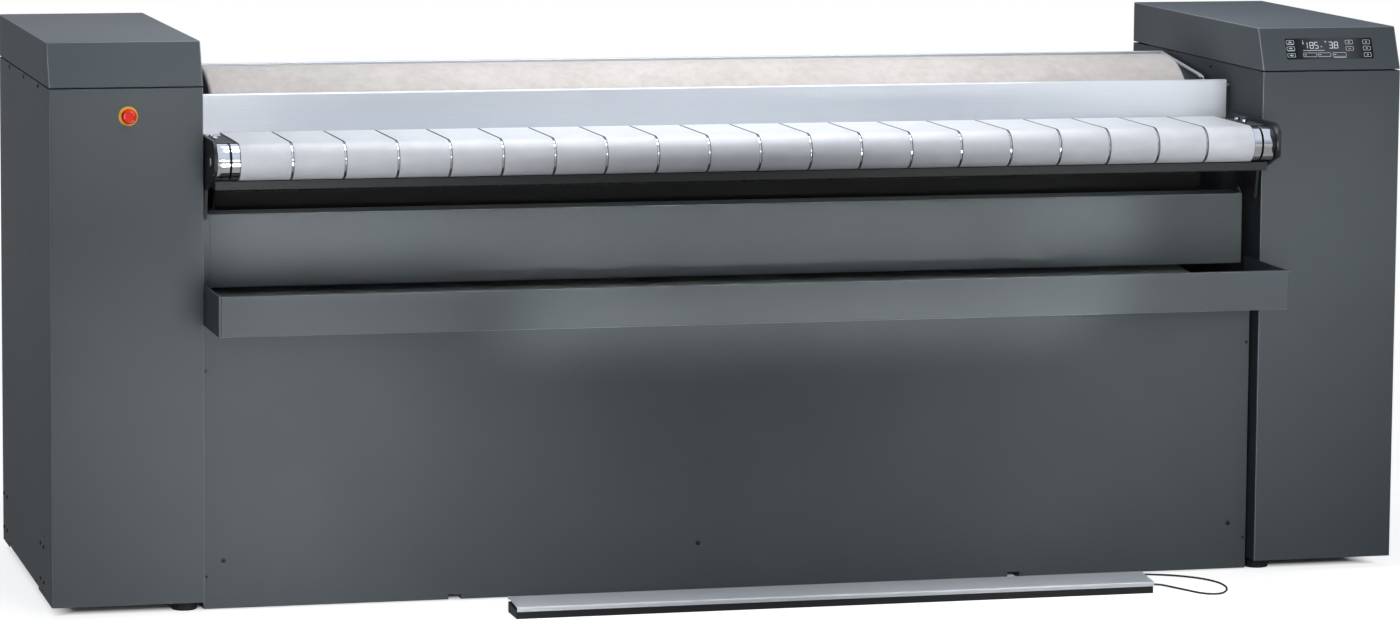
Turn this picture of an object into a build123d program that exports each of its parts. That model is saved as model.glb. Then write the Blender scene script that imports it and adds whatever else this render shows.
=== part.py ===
from build123d import *
import math
import os

# Flatwork ironer: two side columns carry a cloth-covered ironing roller over a
# heated trough.  Linen goes in over the white feed belts, under the finger guard,
# round the roller and back down a return plate into the front tray.
# Millimetres.  X runs from column to column with 0 midway, +Y points to the rear,
# Z is up from the floor.  While it is built, Y is measured from the columns' front
# face; PLACE then centres the whole machine over the origin.

# ---------------------------------------------------------------- driving sizes
WIDTH = 2750.0
DEPTH = 795.0
COLUMN_WIDTH = 296.0
COLUMN_BASE_Z = 24.0
COVER_TOP_Z = 1024.5
HOOD_BASE_Z = 1027.5
HEIGHT = 1112.0
HOOD_SETBACK = 37.0
SHEET = 1.5
EDGE_RADIUS = 3.0

X_OUT = WIDTH / 2
X_IN = X_OUT - COLUMN_WIDTH
X_COLUMN = (X_OUT + X_IN) / 2

# inner frame of each column, with the plate that carries the bearings
FRAME_BAR = 40.0
FRAME_WALL = 4.0
FRAME_Y = (40.0, 725.0)
FRAME_Z = (COLUMN_BASE_Z + 2, COVER_TOP_Z - 0.5)
PLATE_X = (X_IN + 10, X_IN + 18)

# ironing roller and heated trough
ROLLER_Y = 411.0
ROLLER_Z = 849.0
ROLLER_R = 182.5
PADDING = 10.0
ROLLER_END_X = 1019.0
TUBE_WALL = 5.0
JOURNAL_R = 30.0
TROUGH_LIFT = 12.0
TROUGH_R = ROLLER_R + 0.5
TROUGH_WALL = 10.0
TROUGH_Z = ROLLER_Z - TROUGH_LIFT
TROUGH_TOP = 19.0
CARRIER_R = 208.0
CARRIER_SHEET = 2.0
ELEMENT_R = 5.0
ELEMENT_ANGLES = (-60, -36, -12, 12, 36, 60)
RIB_XS = (-960, -576, -192, 192, 576, 960)
RIB_WALL = 8.0
END_PLATE_X = 1024.0
END_PLATE_WALL = 8.0
GUIDE_PIN_R = 8.0
GUIDE_PIN_Y = 236.0
GUIDE_DROP = 120.0

# lifting shaft with its two spiral cams
LIFT_Z = 500.0
LIFT_SHAFT_R = 15.0
CAM_BASE_R = 25.0
CAM_TURN = 120.0
CAM_WALL = 16.0
CAM_GAP = 1.2

# feed table
BELT_COUNT = 20
BELT_PITCH = 102.6
BELT_WIDTH = 99.4
BELT_WALL = 2.0
BELT_CLEAR = 0.3
FEED_R = 34.0
FEED_Z = 888.0
FEED_FRONT_Y = -70.0
FEED_REAR_Y = 138.0
BRACKET_X = 1070.0
BRACKET_WALL = 6.0
FEED_SHAFT_R = 10.0
GROOVE_X = 1042.0
PAN_X = 1066.0
PAN_Y = -63.0
PAN_Z = 831.5
PAN_HEIGHT = 17.5
TABLE_SCREW_XS = (-1057.0, 1040.0)
TABLE_SCREW_YS = (-2.0, 41.0)

# finger guard in front of the roller
GUARD_X = 1071.0
GUARD_Y = 191.0
GUARD_Z = (908.0, 994.0)
GUARD_WALL = 2.0
GUARD_PIVOT = (200.0, 982.0)
GUARD_PIN_R = 4.0

# front panels and laundry tray
LOWER_PANEL_Y = 42.0
LOWER_PANEL_X = 1075.0
LOWER_PANEL_Z = (3.0, 560.0)
UPPER_PANEL_Y = 80.0
UPPER_PANEL_X = 1069.0
UPPER_PANEL_Z = (628.0, 771.0)
UPPER_FLANGE = 70.0
TRAY_X = 1078.0
TRAY_Y = (-175.0, 78.0)
TRAY_Z = (564.0, 642.0)
TRAY_RIM = 12.0
TRAY_END_WALL = 4.0
NOTCH_X = 577.0
NOTCH_SIZE = (26.0, 10.0)

# roller drive: the chain's sprockets, the motor's shaft and the chain's plane
CHAIN_PITCH = 15.875
DRIVE_TEETH = 57
MOTOR_TEETH = 15
MOTOR_Y = 411.0
MOTOR_Z = 340.0
SPROCKET_X = (X_IN + 78, X_IN + 86)

# rear side: cover behind the roller, extraction fan with its duct, mains inlet
REAR_Y = 790.0
COVER_LIP = (571.0, 1023.0)
REAR_COVER_X = 1068.0
FAN_X = X_IN + 150.0
FAN_Y = 620.0
FAN_Z = 250.0
FAN_R = 118.0
DUCT_R = 50.0
DUCT_BORE_R = 48.5
DUCT_BEAD_R = 56.0
DUCT_BEAD_WIDTH = 3.0
DUCT_Y = 840.0
INLET_X = X_IN + 150.0
INLET_Z = 160.0

# levelling feet, and the foot bar on the floor
FOOT_PAD_R = 25.0
FOOT_INSET = 30.0
FOOT_YS = (70.0, 705.0)
BAR_X = (-499.5, 800.0)
BAR_Y = (-174.5, -97.0)
BAR_FRONT_Z = 24.0
BAR_REAR_Z = 31.0
BAR_BASE_Z = 13.0
BAR_NOSE = 4.0
SPRING_XS = (-380.0, 150.0, 680.0)
SPRING_Y = -160.0
CABLE_R = 2.0
CABLE_EXIT = (810, -112.0, 6.0)
CABLE_ROUTE = [
    CABLE_EXIT,
    (832, -112.0, 6.0),
    (854, -128.0, 2.6),
    (873, -166.0, 2.1),
    (893, -212.0, 2.2),
    (926, -222.0, 2.1),
    (952, -188.0, 2.2),
    (966, -145.0, 2.1),
    (966, -97.0, 2.2),
    (945, -46.0, 2.1),
    (899, -4.0, 2.2),
    (846, 18.0, 2.1),
    (791, 27.0, 2.2),
    (736, 24.0, 2.1),
    (682, 12.0, 2.2),
    (630, 7.0, 2.1),
    (589, 25.0, 2.5),
    (580, 56.0, 7.5),
    (578, 86.0, 14.0),
    (577.5, 107.0, 28.0),
    (577, 117.0, 47.0),
    (577, 117.0, 61.0),
]

# controls
STOP_X = -X_OUT + 151.0
STOP_Z = 972.0
STOP_COLLAR_R = 18.5
STOP_HEAD_R = 14.5
STOP_STEM_R = 6.0
DISPLAY_SIZE = (188.0, 45.0)
DISPLAY_Z = 1069.5

PLACE = Pos(0, -(BAR_Y[0] - BAR_NOSE + DUCT_Y) / 2, 0)


# ---------------------------------------------------------------- small helpers
def block(x, y, z):
    """A box between the two ends given for each direction."""
    middle = Pos((x[0] + x[1]) / 2, (y[0] + y[1]) / 2, (z[0] + z[1]) / 2)
    return middle * Box(abs(x[1] - x[0]), abs(y[1] - y[0]), abs(z[1] - z[0]))


def rod_x(radius, x, y, z):
    """A round bar along X between the two ends in x."""
    turned = Pos((x[0] + x[1]) / 2, y, z) * Rot(0, 90, 0)
    return turned * Cylinder(radius, abs(x[1] - x[0]))


def rod_y(radius, x, y, z):
    """A round bar along Y between the two ends in y."""
    turned = Pos(x, (y[0] + y[1]) / 2, z) * Rot(90, 0, 0)
    return turned * Cylinder(radius, abs(y[1] - y[0]))


def rod_z(radius, x, y, z):
    """A round bar along Z between the two ends in z."""
    return Pos(x, y, (z[0] + z[1]) / 2) * Cylinder(radius, abs(z[1] - z[0]))


def outline(points, rounds=None):
    """A flat face through the points; rounds gives a radius for some of them."""
    face = make_face(Polyline(*points, close=True))
    for number, radius in (rounds or {}).items():
        corner = Vector(*points[number])
        face = fillet(face.vertices().sort_by_distance(corner)[0], radius)
    return face


def profile_x(points, x, rounds=None):
    """A profile in Y and Z carried along X between the two ends in x."""
    face = Plane.YZ.offset(min(x)) * outline(points, rounds)
    return extrude(face, amount=abs(x[1] - x[0]), dir=(1, 0, 0))


def plan_z(points, z, rounds=None):
    """A plan in X and Y carried up Z between the two heights in z."""
    face = Plane.XY.offset(z[0]) * outline(points, rounds)
    return extrude(face, amount=z[1] - z[0], dir=(0, 0, 1))


def polar(centre, radius, degrees):
    """The point at this radius and angle; 0 degrees is straight down, + to the rear."""
    angle = math.radians(degrees)
    return (centre[0] + radius * math.sin(angle), centre[1] - radius * math.cos(angle))


def half_ring(centre, inner, outer, top, x):
    """A curved plate that hugs the underside of the roller, cut off level at the top."""
    ring = rod_x(outer, x, *centre) - rod_x(inner, (min(x) - 5, max(x) + 5), *centre)
    reach = outer + 5
    above = (centre[1] - top, centre[1] + reach)
    return ring - block((min(x) - 5, max(x) + 5), (centre[0] - reach, centre[0] + reach), above)


def folded(points, wall):
    """The outline of a folded sheet: the path, and the path moved left by the wall."""
    moved = []
    last = len(points) - 1
    for i, (u, v) in enumerate(points):
        before, after = points[max(i - 1, 0)], points[min(i + 1, last)]
        inward = (u - before[0], v - before[1]) if i > 0 else (after[0] - u, after[1] - v)
        onward = (after[0] - u, after[1] - v) if i < last else inward
        a, b = math.hypot(*inward), math.hypot(*onward)
        n1 = (-inward[1] / a, inward[0] / a)
        n2 = (-onward[1] / b, onward[0] / b)
        share = wall / (1 + n1[0] * n2[0] + n1[1] * n2[1])
        moved.append((u + (n1[0] + n2[0]) * share, v + (n1[1] + n2[1]) * share))
    return list(points) + moved[::-1]


def both_sides(solid):
    """A solid and its mirror image on the other column."""
    return [solid, mirror(solid, about=Plane.YZ)]


def as_list(thing):
    """The separate solids of a shape or of a list of shapes."""
    parts = thing if isinstance(thing, (list, tuple)) else [thing]
    return [solid for part in parts for solid in part.solids()]


def save(node, thing):
    """Writes one node, moved into the machine's own frame."""
    solids = [PLACE * solid for solid in as_list(thing)]
    shape = solids[0] if len(solids) == 1 else Compound(children=solids)
    export_step(shape, os.path.join("parts", node + ".step"))


# ---------------------------------------------------------------- side columns
def angle_bar(x, y, z, inward):
    """An angle-steel bar: a box cut away towards the side that inward points to."""
    core = []
    for (low, high), side in zip((x, y, z), inward):
        start = low + FRAME_WALL if side > 0 else low - 1
        end = high - FRAME_WALL if side < 0 else high + 1
        core.append((start, end))
    return block(x, y, z) - block(*core)


def side_frame():
    """Welded angle-steel frame of the right column with its thick bearing plate."""
    (front, rear), (low, high) = FRAME_Y, FRAME_Z
    inner, outer = PLATE_X[0], X_OUT - 10
    sides = (((inner, inner + FRAME_BAR), 1), ((outer - FRAME_BAR, outer), -1))
    ends = (((front, front + FRAME_BAR), 1), ((rear - FRAME_BAR, rear), -1))
    frame = block(PLATE_X, FRAME_Y, FRAME_Z)
    for x, in_x in sides:
        frame += angle_bar(x, FRAME_Y, (low, low + FRAME_BAR), (in_x, 0, 1))
        frame += angle_bar(x, FRAME_Y, (high - FRAME_BAR, high), (in_x, 0, -1))
        for y, in_y in ends:
            frame += angle_bar(x, y, FRAME_Z, (in_x, in_y, 0))
    for y, in_y in ends:
        frame += angle_bar((inner, outer), y, (low, low + FRAME_BAR), (0, in_y, 1))
    through = (X_IN, X_IN + 60)
    frame -= rod_x(JOURNAL_R + 8, through, ROLLER_Y, ROLLER_Z)
    frame -= rod_x(LIFT_SHAFT_R + 5, through, ROLLER_Y, LIFT_Z)
    frame -= rod_x(FEED_SHAFT_R + 6, through, FEED_REAR_Y, FEED_Z)
    for y in guide_pin_ys():
        frame -= rod_x(GUIDE_PIN_R, through, y, guide_pin_z())
    for x, y in foot_places():
        frame -= rod_z(8.0, x, y, (0, 60))
    return frame


def front_cover():
    """Front sheet of the right column, its corners bent back by a few millimetres."""
    depth = 4.0
    x = (X_IN, X_OUT)
    plan = [(x[0], depth), (x[0], 0), (x[1], 0), (x[1], depth)]
    plan += [(x[1] - SHEET, depth), (x[1] - SHEET, SHEET)]
    plan += [(x[0] + SHEET, SHEET), (x[0] + SHEET, depth)]
    rounds = {1: EDGE_RADIUS, 2: EDGE_RADIUS, 5: 1.4, 6: 1.4}
    cover = plan_z(plan, (COLUMN_BASE_Z, COVER_TOP_Z), rounds)
    for z in ((COLUMN_BASE_Z, COLUMN_BASE_Z + SHEET), (COVER_TOP_Z - SHEET, COVER_TOP_Z)):
        cover += block((x[0] + 3, x[1] - 3), (SHEET, 30), z)
    return cover


def outer_cover():
    """Outer side sheet of the right column; its lower edge steps up in the middle."""
    y = (4.4, 688.0)
    step = (209.0, 5.0)
    low, high = COLUMN_BASE_Z, COVER_TOP_Z
    side = [(y[0], low), (step[0], low), (step[0], low + step[1]), (y[1], low + step[1])]
    side += [(y[1], high), (y[0], high)]
    cover = profile_x(side, (X_OUT - SHEET, X_OUT))
    cover += block((X_OUT - 9, X_OUT - SHEET), (y[0] + 27, y[1] - 20), (high - SHEET, high))
    for slot_y in (108.0, 147.0):
        for slot_z in (32.0, 146.0):
            across, up = (slot_y - 5, slot_y + 5), (slot_z - 1.5, slot_z + 1.5)
            cover -= block((X_OUT - 5, X_OUT + 5), across, up)
    return cover


def inner_cover():
    """Inner side sheet of the right column, pierced for shafts, pins and beams."""
    cover = block((X_IN, X_IN + SHEET), (4.4, DEPTH - 4.4), (COLUMN_BASE_Z, COVER_TOP_Z))
    holes = [(JOURNAL_R + 20, ROLLER_Y, ROLLER_Z), (LIFT_SHAFT_R + 5, ROLLER_Y, LIFT_Z)]
    holes += [(GUIDE_PIN_R + 1, y, guide_pin_z()) for y in guide_pin_ys()]
    holes += [(GUARD_PIN_R, *GUARD_PIVOT)]
    for radius, y, z in holes:
        cover -= rod_x(radius, (X_IN - 5, X_IN + 5), y, z)
    for y, z in beam_places():
        cover -= block((X_IN - 5, X_IN + 5), (y - 1, y + 61), (z - 1, z + 61))
    return cover


def rear_cover():
    """Rear sheet of the right column with the strip that wraps round its outer side."""
    strip = 688.4
    x = (X_IN, X_OUT)
    plan = [(x[1], strip), (x[1], DEPTH), (x[0], DEPTH), (x[0], DEPTH - 4)]
    plan += [(x[0] + SHEET, DEPTH - 4), (x[0] + SHEET, DEPTH - SHEET)]
    plan += [(x[1] - SHEET, DEPTH - SHEET), (x[1] - SHEET, strip)]
    rounds = {1: EDGE_RADIUS, 2: EDGE_RADIUS, 5: 1.4, 6: 1.4}
    return plan_z(plan, (COLUMN_BASE_Z, COVER_TOP_Z), rounds)


def hood():
    """Lid of the right column: a hollow cap with a front that slopes back."""
    low, high = HOOD_BASE_Z, HEIGHT
    side = [(0, low), (HOOD_SETBACK, high), (DEPTH, high), (DEPTH, low)]
    cap = profile_x(side, (X_IN, X_OUT))
    top_edges = cap.faces().sort_by(Axis.Z)[-1].edges()
    upright = [e for e in cap.edges() if e.bounding_box().size.Z > 50]
    cap = fillet(list(top_edges) + upright, EDGE_RADIUS)
    slope = HOOD_SETBACK / (high - low)
    inset = SHEET * math.hypot(1, slope)
    inside = [(inset - slope, low - 1), (inset + slope * (high - SHEET - low), high - SHEET)]
    inside += [(DEPTH - SHEET, high - SHEET), (DEPTH - SHEET, low - 1)]
    hollow = profile_x(inside, (X_IN + SHEET, X_OUT - SHEET), {1: 2.0, 2: 2.0})
    return cap - hollow


def display_plane(depth):
    """Plane on the right hood's sloping front, this far under its surface."""
    rise = HEIGHT - HOOD_BASE_Z
    up = Vector(0, HOOD_SETBACK, rise).normalized()
    out = Vector(1, 0, 0).cross(up)
    along = (DISPLAY_Z - HOOD_BASE_Z) / rise
    spot = Vector(X_COLUMN, HOOD_SETBACK * along, DISPLAY_Z) - out * depth
    return Plane(origin=spot, x_dir=(1, 0, 0), z_dir=out)


def display_plate(width, height, depth, thickness, radius):
    """A rounded plate parallel to the display, its face this deep in the hood."""
    face = display_plane(depth) * RectangleRounded(width, height, radius)
    return extrude(face, amount=-thickness)


def columns():
    save("side_frames", both_sides(side_frame()))
    save("right_front_cover", front_cover())
    stop_hole = rod_y(11.5, STOP_X, (-5, 10), STOP_Z)
    save("left_front_cover", mirror(front_cover(), about=Plane.YZ) - stop_hole)
    save("right_outer_cover", outer_cover())
    save("left_outer_cover", mirror(outer_cover(), about=Plane.YZ))
    save("right_inner_cover", inner_cover())
    shaft = rod_x(FEED_SHAFT_R + 6, (-X_IN - 5, -X_IN + 5), FEED_REAR_Y, FEED_Z)
    save("left_inner_cover", mirror(inner_cover(), about=Plane.YZ) - shaft)
    inlet = rod_y(16.0, INLET_X, (DEPTH - 5, DEPTH + 5), INLET_Z)
    save("right_rear_cover", rear_cover() - inlet)
    duct = rod_y(DUCT_R + 1, -FAN_X, (DEPTH - 5, DEPTH + 5), FAN_Z)
    save("left_rear_cover", mirror(rear_cover(), about=Plane.YZ) - duct)
    save("left_hood", mirror(hood(), about=Plane.YZ))
    width, height = DISPLAY_SIZE
    window = display_plate(width, height, -1.0, 6.0, 3.0)
    save("right_hood", hood() - window)
    glass = display_plate(width - 0.6, height - 0.6, 0.3, 1.5, 2.7)
    glass += display_plate(width + 8, height + 8, SHEET + 0.05, 2.0, 5.0)
    save("display_glass", glass)
    board = display_plate(width - 18, height - 7, 3.7, 1.6, 1.0)
    for x in (-60, -20, 30, 66):
        board += display_plane(5.3) * Pos(x, 0, -4) * Box(18, 16, 8)
    save("control_board", board)


# ---------------------------------------------------------------- beams and panels
def beam_places():
    """Front lower corner, in Y and Z, of each square crossbeam."""
    return ((110.0, 70.0), (DEPTH - 175, 70.0), (DEPTH - 105, 860.0))


def beams():
    solids = []
    for y, z in beam_places():
        beam = block((-X_IN - 9.8, X_IN + 9.8), (y, y + 60), (z, z + 60))
        beam -= block((-X_OUT, X_OUT), (y + 3, y + 57), (z + 3, z + 57))
        solids.append(beam)
    save("cross_beams", solids)


def lower_front_panel():
    """Large front sheet, its edges folded back, with two cable notches below."""
    x, z, y = LOWER_PANEL_X, LOWER_PANEL_Z, LOWER_PANEL_Y
    panel = block((-x, x), (y, y + 22), z)
    panel -= block((-x + SHEET, x - SHEET), (y + SHEET, y + 30), (z[0] + SHEET, z[1] - SHEET))
    edges = [e for e in panel.edges() if e.bounding_box().size.Z > 500]
    front = [e for e in edges if abs(e.center().Y - y) < 0.1]
    panel = fillet(front, 1.4)
    for side in (-1, 1):
        half = NOTCH_SIZE[0] / 2
        place = (side * NOTCH_X - half, side * NOTCH_X + half)
        panel -= block(place, (y - 5, y + 30), (z[0] - 5, z[0] + NOTCH_SIZE[1]))
    return panel


def upper_front_panel():
    """Panel under the feed table; its top folds back as a shelf with small gussets."""
    x, y, z = UPPER_PANEL_X, UPPER_PANEL_Y, UPPER_PANEL_Z
    path = [(y, z[0]), (y, z[1]), (y + UPPER_FLANGE, z[1])]
    section = folded(path, -SHEET)
    panel = profile_x(section, (-x + 15, x - 15), {1: 2.5, 4: 1.0})
    for side in (-1, 1):
        ends = sorted((side * (x - 15), side * x))
        step = 3.0
        strip = [(y + step, z[0]), (y + step, z[1]), (y + UPPER_FLANGE, z[1])]
        panel += profile_x(folded(strip, -SHEET), ends)
        ends = sorted((side * (x - SHEET), side * x))
        gusset = [(y + 4, z[1] - 2), (y + 42, z[1] - 2), (y + 24, z[1] + 11)]
        panel += profile_x(gusset, ends)
        ends = sorted((side * (x - 15), side * (x - 15 - SHEET)))
        panel += block(ends, (y, y + step + SHEET), z)
    return panel


def return_plate():
    """Polished plate that brings the ironed linen forward, under the trough."""
    front = (66.0, 575.0)
    slope = math.tan(math.radians(4.6))
    rear_y = 690.0
    rear = (rear_y, front[1] + (rear_y - front[0]) * slope)
    path = [front, rear, (rear_y + 28, rear[1] + 60), (rear_y + 34, 850.0)]
    return profile_x(folded(path, SHEET), (-1016, 1016), {1: 20.0, 2: 20.0, 5: 18.0, 6: 18.0})


def laundry_tray():
    """Long tray: a folded pan with a rolled front rim, between two end plates."""
    y, z = TRAY_Y, TRAY_Z
    inner = TRAY_X - TRAY_END_WALL - 0.8
    rim_y = y[0] - 1.5
    path = [(y[1], z[0] + 10), (y[1] - 3, z[0]), (y[0], z[0]), (y[0], z[1] - TRAY_RIM)]
    path += [(rim_y, z[1] - TRAY_RIM), (rim_y, z[1]), (y[0] + 12, z[1])]
    pan = profile_x(folded(path, -SHEET), (-inner, inner), {2: 2.0, 5: 1.2})
    plate = [(y[0], z[0]), (y[0], z[1]), (y[1], z[1]), (y[1], z[0])]
    end = profile_x(plate, (TRAY_X - TRAY_END_WALL, TRAY_X), {1: 3.0})
    return [pan] + both_sides(end)


def rear_panel():
    """Rear sheet between the columns with three rows of cooling slots."""
    x = X_IN - 1.5
    panel = block((-x, x), (REAR_Y, REAR_Y + SHEET), (60, 962))
    slots = []
    for row in range(3):
        for column in range(17):
            place = (column - 8) * 100
            z = 230 + row * 26
            slots.append(block((place - 36, place + 36), (REAR_Y - 5, REAR_Y + 5), (z, z + 7)))
    return panel - slots


def rear_roller_cover():
    """Sloping sheet behind the roller with an end plate at each column."""
    y, z = COVER_LIP
    path = [(y + 3, z - 9), (y, z - 7), (y, z), (y + 14, z)]
    path += [(REAR_Y - SHEET, 975), (REAR_Y - SHEET, 950)]
    cover = profile_x(folded(path, -SHEET), (-REAR_COVER_X, REAR_COVER_X), {2: 1.4, 3: 2.0})
    plate = [(y - 0.2, z - 0.6), (335, 994), (318, 990), (314, 982), (314, 960)]
    plate += [(560, 930), (REAR_Y - 2, 950), (REAR_Y - 2, 974), (y + 14, z - 0.5)]
    for side in (-1, 1):
        ends = sorted((side * (REAR_COVER_X - 2), side * REAR_COVER_X))
        cover += profile_x(plate, ends, {2: 5.0, 3: 5.0})
        lip = [(y, z - 0.5), (335, 993.4), (318, 989.4)]
        lip += [(318, 987.4), (335, 991.4), (y, z - 2.5)]
        ends = sorted((side * (REAR_COVER_X - 10), side * REAR_COVER_X))
        cover += profile_x(lip, ends)
        cover -= rod_x(3.5, ends, 332, 984)
    return cover


def panels():
    save("lower_front_panel", lower_front_panel())
    save("upper_front_panel", upper_front_panel())
    save("return_plate", return_plate())
    save("laundry_tray", laundry_tray())
    save("rear_panel", rear_panel())
    save("rear_roller_cover", rear_roller_cover())


# ---------------------------------------------------------------- feed table
def table_bracket():
    """Side plate of the feed table, round at the front, with a leg down the column."""
    side = [(-115, 930), (-115, 868), (-20, 833), (4, 826), (17, 768)]
    side += [(74, 768), (100, 833), (178, 850), (178, 930)]
    plate = profile_x(side, (BRACKET_X, BRACKET_X + BRACKET_WALL), {0: 26.0, 1: 16.0, 8: 10.0})
    lip = [(-110, 866.2), (-22, 833.8), (-22, 836.4), (-110, 868.8)]
    plate += profile_x(lip, (BRACKET_X + BRACKET_WALL - 1, BRACKET_X + BRACKET_WALL + 2.6))
    for y in (FEED_FRONT_Y, FEED_REAR_Y):
        plate -= rod_x(14.0, (BRACKET_X - 5, BRACKET_X + 10), y, FEED_Z)
    return plate


def feed_roller(y, stub):
    """Chromed feed tube on a shaft, with a guide groove and a vent hole near each end."""
    half = BRACKET_X - 0.6
    roller = rod_x(FEED_R, (-half, half), y, FEED_Z)
    for side in (-1, 1):
        ring = rod_x(FEED_R + 1, (side * GROOVE_X - 2, side * GROOVE_X + 2), y, FEED_Z)
        ring -= rod_x(FEED_R - 2, (side * GROOVE_X - 3, side * GROOVE_X + 3), y, FEED_Z)
        roller -= ring
    roller -= rod_x(FEED_R - 6, (-half + 10, half - 10), y, FEED_Z)
    roller += rod_x(FEED_SHAFT_R, (-stub, BRACKET_X + 8), y, FEED_Z)
    return roller - rod_x(2.5, (-half - 5, half + 5), y, FEED_Z + 18)


def belt_loop(radius):
    """A stadium-shaped block round both feed rollers, one belt wide."""
    half = BELT_WIDTH / 2
    loop = rod_x(radius, (-half, half), FEED_FRONT_Y, FEED_Z)
    loop += rod_x(radius, (-half, half), FEED_REAR_Y, FEED_Z)
    loop += block((-half, half), (FEED_FRONT_Y, FEED_REAR_Y), (FEED_Z - radius, FEED_Z + radius))
    return loop


def feed_belts():
    inner = FEED_R + BELT_CLEAR
    belt = belt_loop(inner + BELT_WALL) - belt_loop(inner)
    first = -(BELT_COUNT - 1) / 2 * BELT_PITCH
    return [Pos(first + number * BELT_PITCH, 0, 0) * belt for number in range(BELT_COUNT)]


def feed_bearings():
    """Flanged bushes of the two feed rollers, one in each bracket hole."""
    rings = []
    for y in (FEED_FRONT_Y, FEED_REAR_Y):
        ring = rod_x(13.9, (BRACKET_X - 0.3, BRACKET_X + 7), y, FEED_Z)
        ring -= rod_x(FEED_SHAFT_R + 0.06, (BRACKET_X - 5, BRACKET_X + 10), y, FEED_Z)
        rings += both_sides(ring)
    return rings


def table_sheet():
    """Plate that carries the upper belt run, with a turned-down front and rear edge."""
    high = FEED_Z + FEED_R + BELT_CLEAR - 0.5
    path = [(-28, high - 14), (-28, high), (98, high), (98, high - 14)]
    return profile_x(folded(path, -2.0), (-BRACKET_X + 0.2, BRACKET_X - 0.2), {1: 3.0, 2: 3.0})


def table_pan():
    """Shallow pan under the belts; its front wall is the dark lip below them."""
    path = [(PAN_Y, PAN_Z + PAN_HEIGHT), (PAN_Y, PAN_Z), (150, PAN_Z)]
    pan = profile_x(folded(path, 2.0), (-PAN_X, PAN_X), {1: 2.5})
    return pan


def table_screws():
    """Small knurled screws that hold the table plate beside the outermost belts."""
    high = FEED_Z + FEED_R + BELT_CLEAR - 0.5
    screws = []
    for x in TABLE_SCREW_XS:
        for y in TABLE_SCREW_YS:
            screw = rod_z(2.5, x, y, (high, high + 4)) + rod_z(5.5, x, y, (high + 3, high + 8))
            screws.append(screw)
    return screws


def feed_motor():
    """Gearmotor in the left column on the rear feed roller's long stub."""
    x, half = -X_IN, 38
    around = (FEED_REAR_Y - half, FEED_REAR_Y + half)
    motor = block((x - 95, -PLATE_X[1]), around, (FEED_Z - half, FEED_Z + half))
    motor += rod_x(32, (x - 215, x - 95), FEED_REAR_Y, FEED_Z)
    motor -= rod_x(FEED_SHAFT_R + 0.06, (x - 80, x), FEED_REAR_Y, FEED_Z)
    return motor


def finger_guard():
    """Long upright strip with folded edges and an ear on each end for its pivot."""
    y, z = GUARD_Y, GUARD_Z
    path = [(y + 9, z[0]), (y, z[0]), (y, z[1]), (y + 12, z[1])]
    guard = profile_x(folded(path, -GUARD_WALL), (-GUARD_X, GUARD_X), {1: 2.8, 2: 2.8})
    for side in (-1, 1):
        ends = sorted((side * (GUARD_X - 3), side * GUARD_X))
        guard += block(ends, (y + 1, y + 18), (GUARD_PIVOT[1] - 10, z[1] - 1))
        through = (side * (GUARD_X - 9), side * (GUARD_X + 9))
        guard -= rod_x(GUARD_PIN_R + 0.06, through, *GUARD_PIVOT)
    return guard


def feed_table():
    save("table_brackets", both_sides(table_bracket()))
    save("front_feed_roller", feed_roller(FEED_FRONT_Y, BRACKET_X + 8))
    save("rear_feed_roller", feed_roller(FEED_REAR_Y, X_IN + 78))
    save("feed_belts", feed_belts())
    save("feed_roller_bearings", feed_bearings())
    save("table_sheet", table_sheet())
    save("table_pan", table_pan())
    save("table_screws", table_screws())
    save("feed_motor", feed_motor())
    save("finger_guard", finger_guard())
    pin = rod_x(GUARD_PIN_R, (GUARD_X - 5, X_IN + 9), *GUARD_PIVOT)
    save("finger_guard_pivots", both_sides(pin))


# ---------------------------------------------------------------- roller
def roller():
    tube_r = ROLLER_R - PADDING
    tube = rod_x(tube_r, (-ROLLER_END_X, ROLLER_END_X), ROLLER_Y, ROLLER_Z)
    tube -= rod_x(tube_r - TUBE_WALL, (-2000, 2000), ROLLER_Y, ROLLER_Z)
    save("roller_tube", tube)
    padding = rod_x(ROLLER_R, (-ROLLER_END_X, ROLLER_END_X), ROLLER_Y, ROLLER_Z)
    padding -= rod_x(tube_r + 0.1, (-2000, 2000), ROLLER_Y, ROLLER_Z)
    save("roller_padding", padding)
    end = ROLLER_END_X
    disc = rod_x(tube_r - TUBE_WALL - 0.1, (end - 15, end - 3), ROLLER_Y, ROLLER_Z)
    disc += rod_x(JOURNAL_R + 12, (end - 3, end + 8), ROLLER_Y, ROLLER_Z)
    disc += rod_x(JOURNAL_R, (end, X_IN + 110), ROLLER_Y, ROLLER_Z)
    save("roller_ends", both_sides(disc))
    housing = rod_x(62, (PLATE_X[1], PLATE_X[1] + 22), ROLLER_Y, ROLLER_Z)
    housing -= rod_x(JOURNAL_R + 0.06, (X_IN, X_IN + 60), ROLLER_Y, ROLLER_Z)
    save("roller_bearings", both_sides(housing))
    sprocket = toothed_wheel(DRIVE_TEETH, ROLLER_Y, ROLLER_Z)
    sprocket -= rod_x(JOURNAL_R, (X_IN, X_OUT), ROLLER_Y, ROLLER_Z)
    save("roller_sprocket", sprocket)


# ---------------------------------------------------------------- drive
def pitch_radius(teeth):
    return CHAIN_PITCH / (2 * math.sin(math.pi / teeth))


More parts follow.
